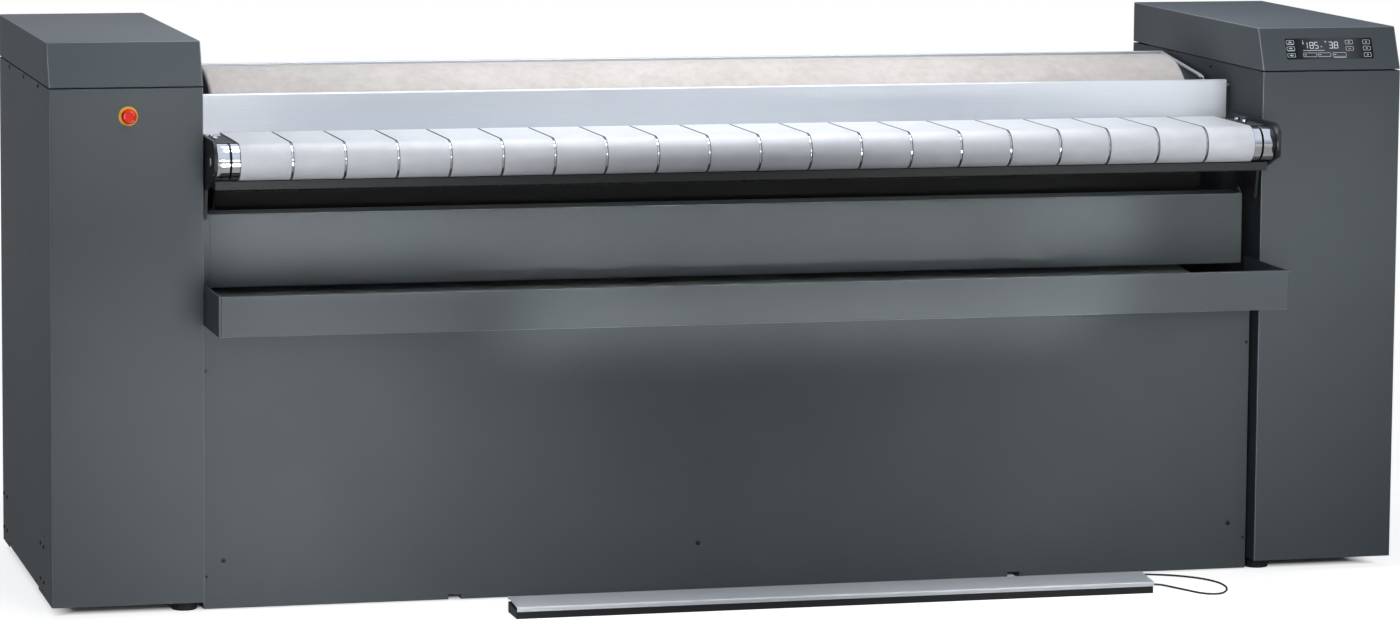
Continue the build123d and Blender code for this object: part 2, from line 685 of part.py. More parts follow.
def toothed_wheel(teeth, y, z):
    """Chain sprocket whose teeth stay just inside the chain's inner line."""
    tip = pitch_radius(teeth) - 4.5
    root = tip - 5.0
    points = []
    for tooth in range(teeth):
        for share, radius in ((0.0, root), (0.25, root), (0.42, tip), (0.62, tip), (0.79, root)):
            angle = 2 * math.pi * (tooth + share) / teeth
            points.append((y + radius * math.cos(angle), z + radius * math.sin(angle)))
    return profile_x(points, SPROCKET_X)


def chain_band(extra):
    """Solid outline of the chain's run, this far outside the two pitch circles."""
    big, small = pitch_radius(DRIVE_TEETH) + extra, pitch_radius(MOTOR_TEETH) + extra
    lean = math.asin((big - small) / (ROLLER_Z - MOTOR_Z))
    c, s = math.cos(lean), math.sin(lean)
    quad = [(ROLLER_Y + big * c, ROLLER_Z - big * s), (ROLLER_Y - big * c, ROLLER_Z - big * s)]
    quad += [(MOTOR_Y - small * c, MOTOR_Z - small * s), (MOTOR_Y + small * c, MOTOR_Z - small * s)]
    band = profile_x(quad, SPROCKET_X)
    band += rod_x(big, SPROCKET_X, ROLLER_Y, ROLLER_Z)
    band += rod_x(small, SPROCKET_X, MOTOR_Y, MOTOR_Z)
    return band


def drive():
    save("drive_chain", chain_band(5.0) - chain_band(-4.0))
    wheel = toothed_wheel(MOTOR_TEETH, MOTOR_Y, MOTOR_Z)
    wheel += rod_x(14, (SPROCKET_X[0], SPROCKET_X[1] + 12), MOTOR_Y, MOTOR_Z)
    wheel += rod_x(11, (SPROCKET_X[1] + 12, SPROCKET_X[1] + 40), MOTOR_Y, MOTOR_Z)
    save("motor_sprocket", wheel)
    x = SPROCKET_X[1] + 22
    motor = block((x, x + 90), (MOTOR_Y - 70, MOTOR_Y + 70), (MOTOR_Z - 90, MOTOR_Z + 60))
    motor += rod_y(58, x + 45, (MOTOR_Y + 70, MOTOR_Y + 250), MOTOR_Z)
    shelf_y, shelf_z = (MOTOR_Y - 70, MOTOR_Y + 120), (MOTOR_Z - 96, MOTOR_Z - 90)
    motor += block((PLATE_X[1], x + 90), shelf_y, shelf_z)
    motor += block((PLATE_X[1], PLATE_X[1] + 6), shelf_y, (shelf_z[0] - 60, shelf_z[0]))
    motor -= rod_x(11.06, (x - 5, x + 30), MOTOR_Y, MOTOR_Z)
    save("drive_motor", motor)


# ---------------------------------------------------------------- trough and its lift
def guide_pin_ys():
    """The two places, in front of and behind the roller, of a column's guide pins."""
    return (GUIDE_PIN_Y, 2 * ROLLER_Y - GUIDE_PIN_Y)


def guide_pin_z():
    return TROUGH_Z - GUIDE_DROP


def leg_foot_z():
    """Height of the carrier legs' flat feet above the cams at rest."""
    return LIFT_Z + CAM_BASE_R + CAM_GAP


def trough_end_plate(start):
    """Crescent end plate with a leg for the cam and two slots for the guide pins."""
    x = (start, start + END_PLATE_WALL)
    centre = (ROLLER_Y, TROUGH_Z)
    plate = rod_x(CARRIER_R + 20, x, *centre)
    plate -= block((x[0] - 5, x[1] + 5), (0, 800), (TROUGH_Z - 72, TROUGH_Z + 300))
    plate += block(x, (ROLLER_Y - 30, ROLLER_Y + 30), (leg_foot_z(), TROUGH_Z - CARRIER_R - 10))
    for y in guide_pin_ys():
        z = guide_pin_z()
        plate += block(x, (y - 22, y + 22), (z - 40, z + 22))
        slot = block(x, (y - GUIDE_PIN_R - 0.2, y + GUIDE_PIN_R + 0.2), (z - TROUGH_LIFT - 1, z))
        slot += rod_x(GUIDE_PIN_R + 0.2, x, y, z)
        slot += rod_x(GUIDE_PIN_R + 0.2, x, y, z - TROUGH_LIFT - 1)
        plate -= slot
    plate -= rod_x(TROUGH_R + TROUGH_WALL + 0.2, (x[0] - 5, x[1] + 5), *centre)
    return plate


def drilled(solid):
    """The solid with a clear hole for every heating element."""
    for angle in ELEMENT_ANGLES:
        y, z = polar((ROLLER_Y, TROUGH_Z), element_radius(), angle)
        solid -= rod_x(ELEMENT_R + 0.4, (-END_PLATE_X - 20, END_PLATE_X + 20), y, z)
    return solid


def trough_carrier():
    """Ribs and insulated outer shell under the trough, between two end plates."""
    centre = (ROLLER_Y, TROUGH_Z)
    inside = CARRIER_R - CARRIER_SHEET
    pieces = [half_ring(centre, inside, CARRIER_R, 36, (-END_PLATE_X, END_PLATE_X))]
    for x in RIB_XS:
        rib = half_ring(centre, TROUGH_R + TROUGH_WALL + 0.2, inside - 0.1, 43, (x, x + RIB_WALL))
        pieces.append(drilled(rib))
    for start in (-END_PLATE_X - END_PLATE_WALL, END_PLATE_X):
        pieces.append(drilled(trough_end_plate(start)))
    return pieces


def element_radius():
    return TROUGH_R + TROUGH_WALL + 1.5 + ELEMENT_R


def spiral_cam(x):
    """Cam whose radius grows evenly with the angle, so that it lifts evenly."""
    grow = TROUGH_LIFT / CAM_TURN
    steps = 24
    points = []
    for step in range(steps + 1):
        turn = -5 + (CAM_TURN + 10) * step / steps
        radius = CAM_BASE_R + grow * min(max(turn, 0), CAM_TURN)
        angle = math.radians(90 - turn)
        points.append((ROLLER_Y + radius * math.cos(angle), LIFT_Z + radius * math.sin(angle)))
    points += [(ROLLER_Y - 6, LIFT_Z - 22), (ROLLER_Y - 22, LIFT_Z - 8)]
    points.append((ROLLER_Y - 20, LIFT_Z + 14))
    return profile_x(points, x)


def trough():
    centre = (ROLLER_Y, TROUGH_Z)
    ends = (-ROLLER_END_X, ROLLER_END_X)
    pan = half_ring(centre, TROUGH_R, TROUGH_R + TROUGH_WALL, TROUGH_TOP, ends)
    save("heated_trough", pan)
    save("trough_carrier", trough_carrier())
    rods = []
    for angle in ELEMENT_ANGLES:
        y, z = polar(centre, element_radius(), angle)
        rods.append(rod_x(ELEMENT_R, (-END_PLATE_X - 14, END_PLATE_X + 14), y, z))
    save("heating_elements", rods)
    pins = []
    for y in guide_pin_ys():
        pins += both_sides(rod_x(GUIDE_PIN_R, (END_PLATE_X + 0.5, PLATE_X[1]), y, guide_pin_z()))
    save("trough_guide_pins", pins)
    shaft = rod_x(LIFT_SHAFT_R, (-X_IN - 90, X_IN + 50), ROLLER_Y, LIFT_Z)
    for side in (-1, 1):
        middle = side * (END_PLATE_X + END_PLATE_WALL / 2)
        shaft += spiral_cam((middle - CAM_WALL / 2, middle + CAM_WALL / 2))
    save("lift_shaft", shaft)
    ring = rod_x(36, (PLATE_X[1], PLATE_X[1] + 18), ROLLER_Y, LIFT_Z)
    ring -= rod_x(LIFT_SHAFT_R + 0.06, (X_IN, X_IN + 60), ROLLER_Y, LIFT_Z)
    save("lift_shaft_bearings", both_sides(ring))
    x = -PLATE_X[1] - 18
    motor = block((x - 70, x), (ROLLER_Y - 45, ROLLER_Y + 45), (LIFT_Z - 45, LIFT_Z + 45))
    motor += rod_z(34, x - 35, ROLLER_Y, (LIFT_Z - 190, LIFT_Z - 45))
    motor -= rod_x(LIFT_SHAFT_R + 0.06, (x - 55, x + 10), ROLLER_Y, LIFT_Z)
    save("lift_motor", motor)


# ---------------------------------------------------------------- fan and mains
def fan():
    """Extraction fan in the left column and its duct stub through the rear cover."""
    x = (-FAN_X - 70, -FAN_X + 70)
    housing = rod_x(FAN_R, x, FAN_Y, FAN_Z)
    housing += rod_y(DUCT_R, -FAN_X, (FAN_Y, DUCT_Y), FAN_Z)
    housing += rod_y(DUCT_BEAD_R, -FAN_X, (DEPTH + 0.2, DEPTH + 0.2 + DUCT_BEAD_WIDTH), FAN_Z)
    housing += block((-FAN_X - 20, -FAN_X + 20), (690, 720), (COLUMN_BASE_Z + 42, FAN_Z - 70))
    hollow = rod_x(FAN_R - 3, (x[0] + 3, x[1] - 3), FAN_Y, FAN_Z)
    hollow += rod_y(DUCT_BORE_R, -FAN_X, (FAN_Y, DUCT_Y + 5), FAN_Z)
    hollow += rod_x(45, (x[1] - 10, x[1] + 10), FAN_Y, FAN_Z)
    hollow += rod_x(8.06, (x[0] - 10, x[0] + 10), FAN_Y, FAN_Z)
    save("exhaust_fan_housing", housing - hollow)
    wheel = rod_x(86, (x[0] + 20, x[0] + 24), FAN_Y, FAN_Z)
    for blade in range(12):
        vane = block((x[0] + 22, x[0] + 90), (46, 86), (-1.5, 1.5))
        wheel += Pos(0, FAN_Y, FAN_Z) * Rot(blade * 30, 0, 0) * vane
    wheel += rod_x(8, (x[0] - 8, x[0] + 40), FAN_Y, FAN_Z)
    save("fan_impeller", wheel)


def mains():
    """Terminal box in the right column with its cable gland in the rear cover."""
    y = (DEPTH - 125, DEPTH - 25)
    box = block((INLET_X - 80, INLET_X + 80), y, (INLET_Z - 60, INLET_Z + 120))
    inside = (y[0] + 3, y[1] - 3)
    box -= block((INLET_X - 77, INLET_X + 77), inside, (INLET_Z - 57, INLET_Z + 117))
    box += rod_y(15.5, INLET_X, (y[1] - 3, DEPTH + 18), INLET_Z)
    box += rod_y(22, INLET_X, (DEPTH + 0.2, DEPTH + 8), INLET_Z)
    box -= rod_y(11, INLET_X, (y[1] - 20, DEPTH + 30), INLET_Z)
    save("mains_terminal_box", box)


def emergency_stop():
    """Yellow collar on the left front cover, with a stem and a red mushroom head."""
    collar = rod_y(STOP_COLLAR_R, STOP_X, (-6, 0), STOP_Z)
    collar += rod_y(11.2, STOP_X, (0, 22), STOP_Z)
    collar += rod_y(17, STOP_X, (SHEET + 0.2, 6), STOP_Z)
    collar -= rod_y(STOP_STEM_R + 0.06, STOP_X, (-10, 30), STOP_Z)
    save("emergency_stop_collar", collar)
    save("emergency_stop_stem", rod_y(STOP_STEM_R, STOP_X, (-17, 18), STOP_Z))
    head = rod_y(STOP_HEAD_R, STOP_X, (-24, -11), STOP_Z)
    rims = [e for e in head.edges() if e.geom_type == GeomType.CIRCLE]
    head = fillet(min(rims, key=lambda e: e.center().Y), 5.0)
    head -= rod_y(STOP_STEM_R + 0.06, STOP_X, (-17.06, -5), STOP_Z)
    save("emergency_stop_button", head)


# ---------------------------------------------------------------- feet and screws
def foot_places():
    """Where the right column's two levelling feet stand, in X and Y."""
    return [(X_IN + FOOT_INSET, y) for y in FOOT_YS]


def levelling_feet():
    """Round pads on threaded studs, with a nut on top of the frame's lower flange."""
    feet = []
    for x, y in foot_places():
        foot = rod_z(FOOT_PAD_R, x, y, (0, 20))
        rims = [e for e in foot.edges() if e.geom_type == GeomType.CIRCLE]
        foot = fillet(rims, 3.0)
        foot += rod_z(11, x, y, (19, FRAME_Z[0])) + rod_z(7.9, x, y, (FRAME_Z[0], 60))
        foot += rod_z(12, x, y, (FRAME_Z[0] + FRAME_WALL + 0.1, 42))
        feet += both_sides(foot)
    return feet


def head_on(place, direction, radius=4.5, height=2.4):
    """A round screw head standing on a sheet at place, facing along direction."""
    plane = Plane(origin=place, z_dir=direction)
    head = extrude(plane * Circle(radius), amount=height)
    rim = [e for e in head.edges() if e.geom_type == GeomType.CIRCLE]
    far = max(rim, key=lambda e: e.center().dot(Vector(*direction)))
    return fillet(far, 1.2)


def cover_screws():
    """Round-headed screws of the front panels and of the columns' covers."""
    heads = []
    for x in (-1036.0, -83.0, 1036.0):
        heads.append(head_on((x, LOWER_PANEL_Y, 97.0), (0, -1, 0)))
    for side in (-1, 1):
        for y in (162.0, 391.0, 623.0):
            heads.append(head_on((side * X_OUT, y, 1018.0), (side, 0, 0)))
        for y in (122.0, 172.0, 722.0, 772.0):
            for z in (53.0, 123.0):
                heads.append(head_on((side * X_OUT, y, z), (side, 0, 0)))
        for y in (245.0, 680.0):
            heads.append(head_on((side * X_OUT, y, 34.0), (side, 0, 0), 3.0, 1.6))
        for y, z in ((309.0, 1012.0), (34.0, 474.0), (30.0, 74.0)):
            heads.append(head_on((side * X_IN, y, z), (-side, 0, 0), 3.5, 1.8))
        for z in (66.0, 470.0):
            heads.append(head_on((side * 1069.0, LOWER_PANEL_Y, z), (0, -1, 0), 3.0, 1.6))
        heads.append(head_on((side * BRACKET_X, 48.0, 789.0), (-side, 0, 0), 4.0, 1.6))
    return heads


# ---------------------------------------------------------------- foot bar
def bar_plate():
    """Aluminium treadle: a sloping top, a round nose in front, a short rear edge."""
    front, rear = BAR_Y[0] - BAR_NOSE, BAR_Y[1] + 1
    path = [(front, BAR_BASE_Z + 1.8), (front, BAR_FRONT_Z)]
    path += [(rear, BAR_REAR_Z), (rear, BAR_REAR_Z - 6)]
    return profile_x(folded(path, -2.2), BAR_X, {1: 3.2, 2: 1.5, 5: 0.7})


def bar_base():
    """Dark lower profile of the foot bar, closed by a plate at each end."""
    y = BAR_Y
    path = [(y[0], BAR_BASE_Z), (y[0], 0), (y[1], 0), (y[1], BAR_BASE_Z + 8)]
    base = profile_x(folded(path, 2.5), BAR_X, {1: 1.5})
    end = [(y[0] + 2, 0), (y[0] + 2, BAR_FRONT_Z - 8), (y[1], BAR_REAR_Z - 10), (y[1], 0)]
    for x in ((BAR_X[0], BAR_X[0] + 3), (BAR_X[1] - 3, BAR_X[1])):
        base += profile_x(end, x)
    base -= rod_x(3.5, (BAR_X[1] - 10, BAR_X[1] + 10), *CABLE_EXIT[1:])
    return base


def corner_radii(route):
    """As large an arc at each corner of the route as its two runs allow."""
    radii = []
    for before, here, after in zip(route, route[1:], route[2:]):
        a, b = Vector(*here) - Vector(*before), Vector(*after) - Vector(*here)
        turn = math.radians(a.get_angle(b))
        radii.append(0.45 * min(a.length, b.length) / math.tan(turn / 2))
    return radii


def foot_cable():
    """Thin cable from the foot bar, in a loop, to the crossbeam behind the panel."""
    radii = corner_radii(CABLE_ROUTE)
    path = FilletPolyline(*CABLE_ROUTE, radius=radii)
    start = Plane(origin=path @ 0, z_dir=path % 0)
    tube = sweep(start * Circle(CABLE_R), path=path)
    share = tube.volume / (math.pi * CABLE_R**2 * path.length)
    print("cable radii", [round(r) for r in radii])
    print("cable length", round(path.length), "volume share", round(share, 4))
    return tube


def foot_bar():
    save("foot_bar_plate", bar_plate())
    save("foot_bar_base", bar_base())
    save("foot_cable", foot_cable())
    glands = [rod_x(3.4, (BAR_X[1] - 6, CABLE_EXIT[0]), *CABLE_EXIT[1:])]
    glands[0] += rod_x(4.5, (BAR_X[1], BAR_X[1] + 4), *CABLE_EXIT[1:])
    x, y, z = CABLE_ROUTE[-1]
    glands.append(rod_z(4.5, x, y, (z, beam_places()[0][1])))
    save("foot_cable_glands", glands)
    springs = []
    for x in SPRING_XS:
        spring = rod_z(6, x, SPRING_Y, (2.5, 22.8)) - rod_z(4.5, x, SPRING_Y, (0, 30))
        springs.append(spring)
    save("foot_bar_springs", springs)
    switch = block((740, 768), (-128, -116), (2.5, 18))
    switch += block((744, 764), (-124, -120), (18, 25.2))
    save("foot_bar_switch", switch)


os.makedirs("parts", exist_ok=True)
columns()
beams()
panels()
feed_table()
roller()
drive()
trough()
fan()
mains()
emergency_stop()
save("levelling_feet", levelling_feet())
save("cover_screws", cover_screws())
foot_bar()
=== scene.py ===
# %% [markdown]
# # A flatwork ironer, dressed for its photograph
#
# A flatwork ironer presses damp sheets between a cloth-covered roller and a
# heated trough. Its solids come from CAD and stay where they are. This lesson
# gives each of them a real finish, builds the soft and the very fine pieces as
# surfaces worked out with numpy, and lights the machine like the photograph.

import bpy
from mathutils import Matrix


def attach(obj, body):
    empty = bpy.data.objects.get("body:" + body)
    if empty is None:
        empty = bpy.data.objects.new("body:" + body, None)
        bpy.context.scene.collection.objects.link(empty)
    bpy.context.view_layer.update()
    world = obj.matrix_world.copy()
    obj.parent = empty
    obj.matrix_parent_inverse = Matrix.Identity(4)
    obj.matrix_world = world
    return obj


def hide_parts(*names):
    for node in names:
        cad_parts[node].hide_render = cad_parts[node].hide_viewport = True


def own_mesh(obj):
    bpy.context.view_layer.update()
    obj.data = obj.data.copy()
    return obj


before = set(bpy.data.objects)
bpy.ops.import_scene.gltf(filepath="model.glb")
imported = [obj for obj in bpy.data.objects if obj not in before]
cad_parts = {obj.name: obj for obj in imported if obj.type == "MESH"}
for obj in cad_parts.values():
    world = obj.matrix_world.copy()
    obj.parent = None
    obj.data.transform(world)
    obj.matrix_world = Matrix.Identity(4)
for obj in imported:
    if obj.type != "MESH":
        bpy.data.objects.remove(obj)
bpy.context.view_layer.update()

# %% Tools used by every step
import math

import bmesh
import bpy
import numpy as np
from mathutils import Matrix

FRONT_Y = -330.75  # the columns' front face in the frame, in millimetres


def place(x, y, z):
    """Points as an array in metres. x is in millimetres from the middle, y from the
    columns' front face towards the rear and z up from the floor."""
    spread = np.broadcast_arrays(x, np.add(y, FRONT_Y), z)
    return np.stack(spread, axis=-1) / 1000


def pose(right, up, back, spot):
    """The matrix that stands an object at spot, in metres, with these three axes."""
    turn = np.eye(4)
    turn[:3, :3] = np.transpose([right, up, back])
    turn[:3, 3] = spot
    return Matrix(turn.tolist())


def put(name, data):
    """A new object that shows this data, put into the scene."""
    thing = bpy.data.objects.new(name, data)
    bpy.context.scene.collection.objects.link(thing)
    return thing


print("front face at", place(0, 0, 0))

# %% [markdown]
# ## The camera
#
# The photograph was taken with a long lens, about fifteen degrees to the left
# of the machine and a little above it. The axes below were found by fitting
# the corners of the columns. A small downward shift keeps the uprights
# parallel, as a product photographer does.

# %% Place the camera
CAMERA_PLACE = (-2.5906, -9.98195, 1.869)
CAMERA_YAW = 0.25306
CAMERA_PITCH = -0.11033
CAMERA_ROLL = -0.007474
CAMERA_LENS = 131.02  # millimetres, for a picture 36 mm wide
CAMERA_SHIFT = -0.07


def camera_axes(yaw, pitch, roll):
    """The camera's right, up and backward axes: the view direction is turned by yaw
    about the vertical, tipped by pitch, and the picture is rolled about it."""
    level = np.array([math.cos(yaw), -math.sin(yaw), 0.0])
    ahead = np.array([math.sin(yaw), math.cos(yaw), 0.0])
    forward = math.cos(pitch) * ahead + math.sin(pitch) * np.array([0.0, 0.0, 1.0])
    down = np.cross(forward, level)
    right = math.cos(roll) * level + math.sin(roll) * down
    up = math.sin(roll) * level - math.cos(roll) * down
    return right, up, -forward


lens = bpy.data.cameras.new("camera")
lens.lens = CAMERA_LENS
lens.sensor_width = 36
lens.sensor_fit = "HORIZONTAL"
lens.shift_y = CAMERA_SHIFT
lens.clip_end = 200
camera = put("camera", lens)
camera.matrix_world = pose(*camera_axes(CAMERA_YAW, CAMERA_PITCH, CAMERA_ROLL), CAMERA_PLACE)
bpy.context.scene.camera = camera
print("camera at", CAMERA_PLACE, "with a lens of", lens.lens, "mm")

# %% [markdown]
# ## The foot bar's cable
#
# A thin sheathed cable leaves the foot bar at its right end, swings round on
# the floor in one loose loop and goes through a notch under the front panel,
# where it rises to the crossbeam. A cable bends evenly, so it is one NURBS
# line: the points are the pull of the curve and not places that it touches. The
# bevel is one metre, so each point's own radius is the cable's radius in metres.

# %% Lay the cable on its route
CABLE_RADIUS = 2.0
CABLE_POINTS = [
    (810, -112, 6), (832, -112, 6), (854, -128, 2.6), (873, -166, 2.1), (893, -212, 2.2),
    (926, -222, 2.1), (952, -188, 2.2), (966, -145, 2.1), (966, -97, 2.2), (945, -46, 2.1),
    (899, -4, 2.2), (846, 18, 2.1), (791, 27, 2.2), (736, 24, 2.1), (682, 12, 2.2),
    (630, 7, 2.1), (589, 25, 2.5), (580, 56, 7.5), (578, 86, 14), (577.5, 107, 28),
    (577, 117, 47), (577, 117, 61),
]

route = place(*np.transpose(CABLE_POINTS))
cable_line = bpy.data.curves.new("foot_cable_sheath", "CURVE")
cable_line.dimensions = "3D"
cable_line.bevel_depth = 1.0
cable_line.bevel_resolution = 3
cable_line.resolution_u = 10
cable_line.use_fill_caps = True
spline = cable_line.splines.new("NURBS")
spline.points.add(len(route) - 1)
spline.points.foreach_set("co", np.column_stack([route, np.ones(len(route))]).ravel())
spline.points.foreach_set("radius", np.full(len(route), CABLE_RADIUS / 1000))
spline.order_u = 3
spline.use_endpoint_u = True
cable = put("foot_cable_sheath", cable_line)
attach(cable, "chassis")
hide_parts("foot_cable")
print("cable of", len(route), "points")

# %% [markdown]
# ## Light, floor and background
#
# The machine stands in a white studio. One broad lamp in front, two overhead
# and one behind give most of the light. Six small lamps with a limited spread
# fill in what those leave too dark: the lower panel, the tray, the upper
# panel, the left hood and the right column. The camera, mirrors and glass see
# a white world. As a lamp that world is weak and slightly blue, so the sides
# that face no lamp stay dark as in the photograph.

# %% Hang the lamps
LAMPS = (
    # name, place and the point it faces in metres, width and height, spread in degrees, watts
    ("low_left_lamp", (-0.92, -1.75, 0.42), (-0.9, -0.3, 0.3), (0.6, 0.5), 80, 3.1),
    ("low_right_lamp", (0.82, -1.75, 0.5), (0.78, -0.3, 0.4), (0.6, 0.5), 80, 1.9),
    ("middle_right_lamp", (1.22, -2.0, 0.9), (1.27, -0.3, 0.78), (0.5, 0.4), 40, 0.6),
    ("left_hood_lamp", (-1.35, -2.4, 1.35), (-1.24, -0.3, 1.06), (0.5, 0.15), 18, 0.24),
    ("upper_panel_lamp", (-0.1, -2.3, 0.76), (-0.1, -0.28, 0.725), (1.9, 0.08), 6, 0.5),
    ("tray_lamp", (0.12, -2.3, 0.58), (0.12, -0.3, 0.575), (1.2, 0.08), 8, 0.42),
    ("front_lamp", (0.2, -6.2, 2.0), (0.0, 0.0, 0.75), (3.6, 1.4), 180, 28.0),
    ("table_front_lamp", (0.0, -0.7, 2.6), (0.0, -0.25, 0.93), (2.0, 0.5), 90, 6.4),
    ("table_lamp", (0.0, 0.2, 2.4), (0.0, -0.2, 0.93), (2.0, 0.4), 70, 4.3),
    ("rear_lamp", (-1.5, 6.5, 2.4), (0.0, 0.3, 0.6), (4.0, 2.0), 180, 26.0),
)


def facing(start, target):
    """The turn that points a lamp from start to target: its back is the opposite
    direction, its right is level, and its up completes the set."""
    back = np.subtract(start, target)
    back = back / np.linalg.norm(back)
    right = np.cross([0.0, 0.0, 1.0], back)
    right = right / np.linalg.norm(right)
    return pose(right, np.cross(back, right), back, start)


for name, start, target, size, spread, watts in LAMPS:
    lamp = bpy.data.lights.new(name, "AREA")
    lamp.shape = "RECTANGLE"
    lamp.size, lamp.size_y = size
    lamp.spread = math.radians(spread)
    lamp.energy = watts
    holder = put(name, lamp)
    holder.matrix_world = facing(start, target)
    holder.visible_camera = False
    print(name, watts, "W")

# %% [markdown]
# ## Colours and nodes
#
# Colours are written as the sRGB hex values that a paint chart gives. One
# function turns them to the linear numbers that the shader works with. One
# more adds any node with its settings and its links, and short ones below it
# add the kinds that nearly every finish uses. Each gives back its result's
# socket, so that a finish reads like one formula.

# %% Turn hex colours to linear light, and add nodes
MM = 0.001


def linear(code):
    """A hex colour as linear red, green, blue and alpha: below 0.04045 a channel is
    divided by 12.92, above it the shifted channel is raised to the power 2.4."""
    channels = np.array([int(code[i : i + 2], 16) for i in (1, 3, 5)]) / 255
    curve = np.where(channels <= 0.04045, channels / 12.92, ((channels + 0.055) / 1.055) ** 2.4)
    return (*curve.tolist(), 1.0)


def add(tree, kind, links=None, **settings):
    """Adds one node. settings are its own values; links gives each input, by name or
    number, either the socket that feeds it or a plain value."""
    node = tree.nodes.new("ShaderNode" + kind)
    for name, value in settings.items():
        setattr(node, name, value)
    for name, source in (links or {}).items():
        if isinstance(source, bpy.types.NodeSocket):
            tree.links.new(source, node.inputs[name])
        else:
            node.inputs[name].default_value = source
    return node


def empty_tree(owner):
    """Switches a material or world to nodes, and gives its cleared tree."""
    owner.use_nodes = True
    owner.node_tree.nodes.clear()
    return owner.node_tree


def maths(tree, operation, *values):
    """One step of arithmetic on sockets or plain numbers."""
    return add(tree, "Math", dict(enumerate(values)), operation=operation).outputs[0]


def ramp(tree, value, low=0.0, high=1.0, start=0.0, end=1.0, **settings):
    """Goes from start, where the value is low, to end, where it is high, and stays level
    outside."""
    places = {0: value, 1: low, 2: high, 3: start, 4: end}
    return add(tree, "MapRange", places, **settings).outputs[0]


def mix(tree, share, low, high):
    """The colour at this share of the way from low to high. Each is a hex colour or a
    socket."""
    low, high = (linear(end) if isinstance(end, str) else end for end in (low, high))
    return add(tree, "Mix", {0: share, 6: low, 7: high}, data_type="RGBA").outputs[2]


def noise(tree, spot, width, detail, **links):
    """A cloudy pattern with patches this many millimetres wide, fixed to the piece."""
    links |= {"Vector": spot["Object"], "Scale": 1 / (width * MM), "Detail": detail}
    return add(tree, "TexNoise", links).outputs[0]


def bump(tree, height, strength, depth):
    """Small relief from a pattern, this many millimetres deep."""
    links = {"Height": height, "Strength": strength, "Distance": depth * MM}
    return add(tree, "Bump", links).outputs[0]


def component(tree, vector, number):
    """One of the three numbers of a vector: 0 for x, 1 for y and 2 for z."""
    return add(tree, "SeparateXYZ", {0: vector}).outputs[number]


def off_from(tree, value, middle):
    """How far a value is from the middle, on either side."""
    return maths(tree, "ABSOLUTE", maths(tree, "SUBTRACT", value, middle))


def waves(tree, value, count):
    """A sine that goes up and down count times while the value goes from 0 to 1."""
    return maths(tree, "SINE", maths(tree, "MULTIPLY", value, 2 * math.pi * count))


print("white is", linear("#ffffff"))

# %% Make the world white to the eye and gentle as a lamp
WORLD_LIGHT = 0.18
MIRRORED_HORIZON = 0.25
WHITE_ABOVE = 0.6  # the height in a direction above which a mirror sees full white

world = bpy.data.worlds.new("studio")
bpy.context.scene.world = world
tree = empty_tree(world)
path = add(tree, "LightPath").outputs
height = component(tree, add(tree, "TexCoord").outputs["Generated"], 2)
mirrored = ramp(tree, height, 0.0, WHITE_ABOVE, MIRRORED_HORIZON, interpolation_type="SMOOTHSTEP")
shine = maths(tree, "MULTIPLY", path["Is Glossy Ray"], mirrored)
seen = maths(tree, "MAXIMUM", path["Is Camera Ray"], path["Is Transmission Ray"])
strength = ramp(tree, maths(tree, "MAXIMUM", seen, shine), start=WORLD_LIGHT)
tint = mix(tree, path["Is Camera Ray"], "#e9f1ff", "#ffffff")
sky = add(tree, "Background", {0: tint, 1: strength})
add(tree, "OutputWorld", {0: sky.outputs[0]})
print("world strength", WORLD_LIGHT)

# %% Spread the floor
FLOOR_REACH = 60.0
FLOOR_GLOW = 0.78
GLOW_ALONE = (2.2, 5.5)  # metres from the middle between which the glow takes over
MIRRORED_FLOOR = 0.4
UNDER_MACHINE = ((-1.37, 1.37), (-0.29, 0.50))
UNDER_EDGE = 0.05


def studio_floor():
    """A white floor that glows a little to the eye: the lamps give the rest of its
    brightness, so that a shadow still shows, and far away the glow is all of it. Under
    the machine the glow is left out, as painted shade, so the gap below the covers is
    dark. Mirrors see a part of the glow. For the machine's light it is a grey floor,
    which throws less light up at the panels."""
    paint = bpy.data.materials.new("white_studio_floor")
    tree = empty_tree(paint)
    spot = add(tree, "TexCoord").outputs["Object"]
    path = add(tree, "LightPath").outputs
    chalk = add(tree, "BsdfDiffuse", {0: mix(tree, path["Is Camera Ray"], "#757575", "#f6f6f6")})
    mirrored = maths(tree, "MULTIPLY", path["Is Glossy Ray"], MIRRORED_FLOOR)
    eye = maths(tree, "MAXIMUM", path["Is Camera Ray"], mirrored)
    eye = maths(tree, "MAXIMUM", eye, path["Is Transmission Ray"])
    # Leaving out the glow over the machine's footprint is painted shade under the machine.
    open_floor = 0.0
    for number, (low, high) in enumerate(UNDER_MACHINE):
        off = off_from(tree, component(tree, spot, number), (low + high) / 2)
        beside = ramp(tree, off, (high - low) / 2 - UNDER_EDGE, (high - low) / 2)
        open_floor = maths(tree, "MAXIMUM", open_floor, beside)
    near = maths(tree, "MULTIPLY", maths(tree, "MULTIPLY", eye, FLOOR_GLOW), open_floor)
    glow = add(tree, "Emission", {0: linear("#ffffff"), 1: near})
    both = add(tree, "AddShader", {0: chalk.outputs[0], 1: glow.outputs[0]})
    white = add(tree, "Emission", {0: linear("#ffffff"), 1: 1.0})
    away = add(tree, "VectorMath", {0: spot}, operation="LENGTH").outputs["Value"]
    far = ramp(tree, away, *GLOW_ALONE, interpolation_type="SMOOTHSTEP")
    far = maths(tree, "MULTIPLY", far, eye)
    mixed = add(tree, "MixShader", {0: far, 1: both.outputs[0], 2: white.outputs[0]})
    add(tree, "OutputMaterial", {0: mixed.outputs[0]})
    return paint


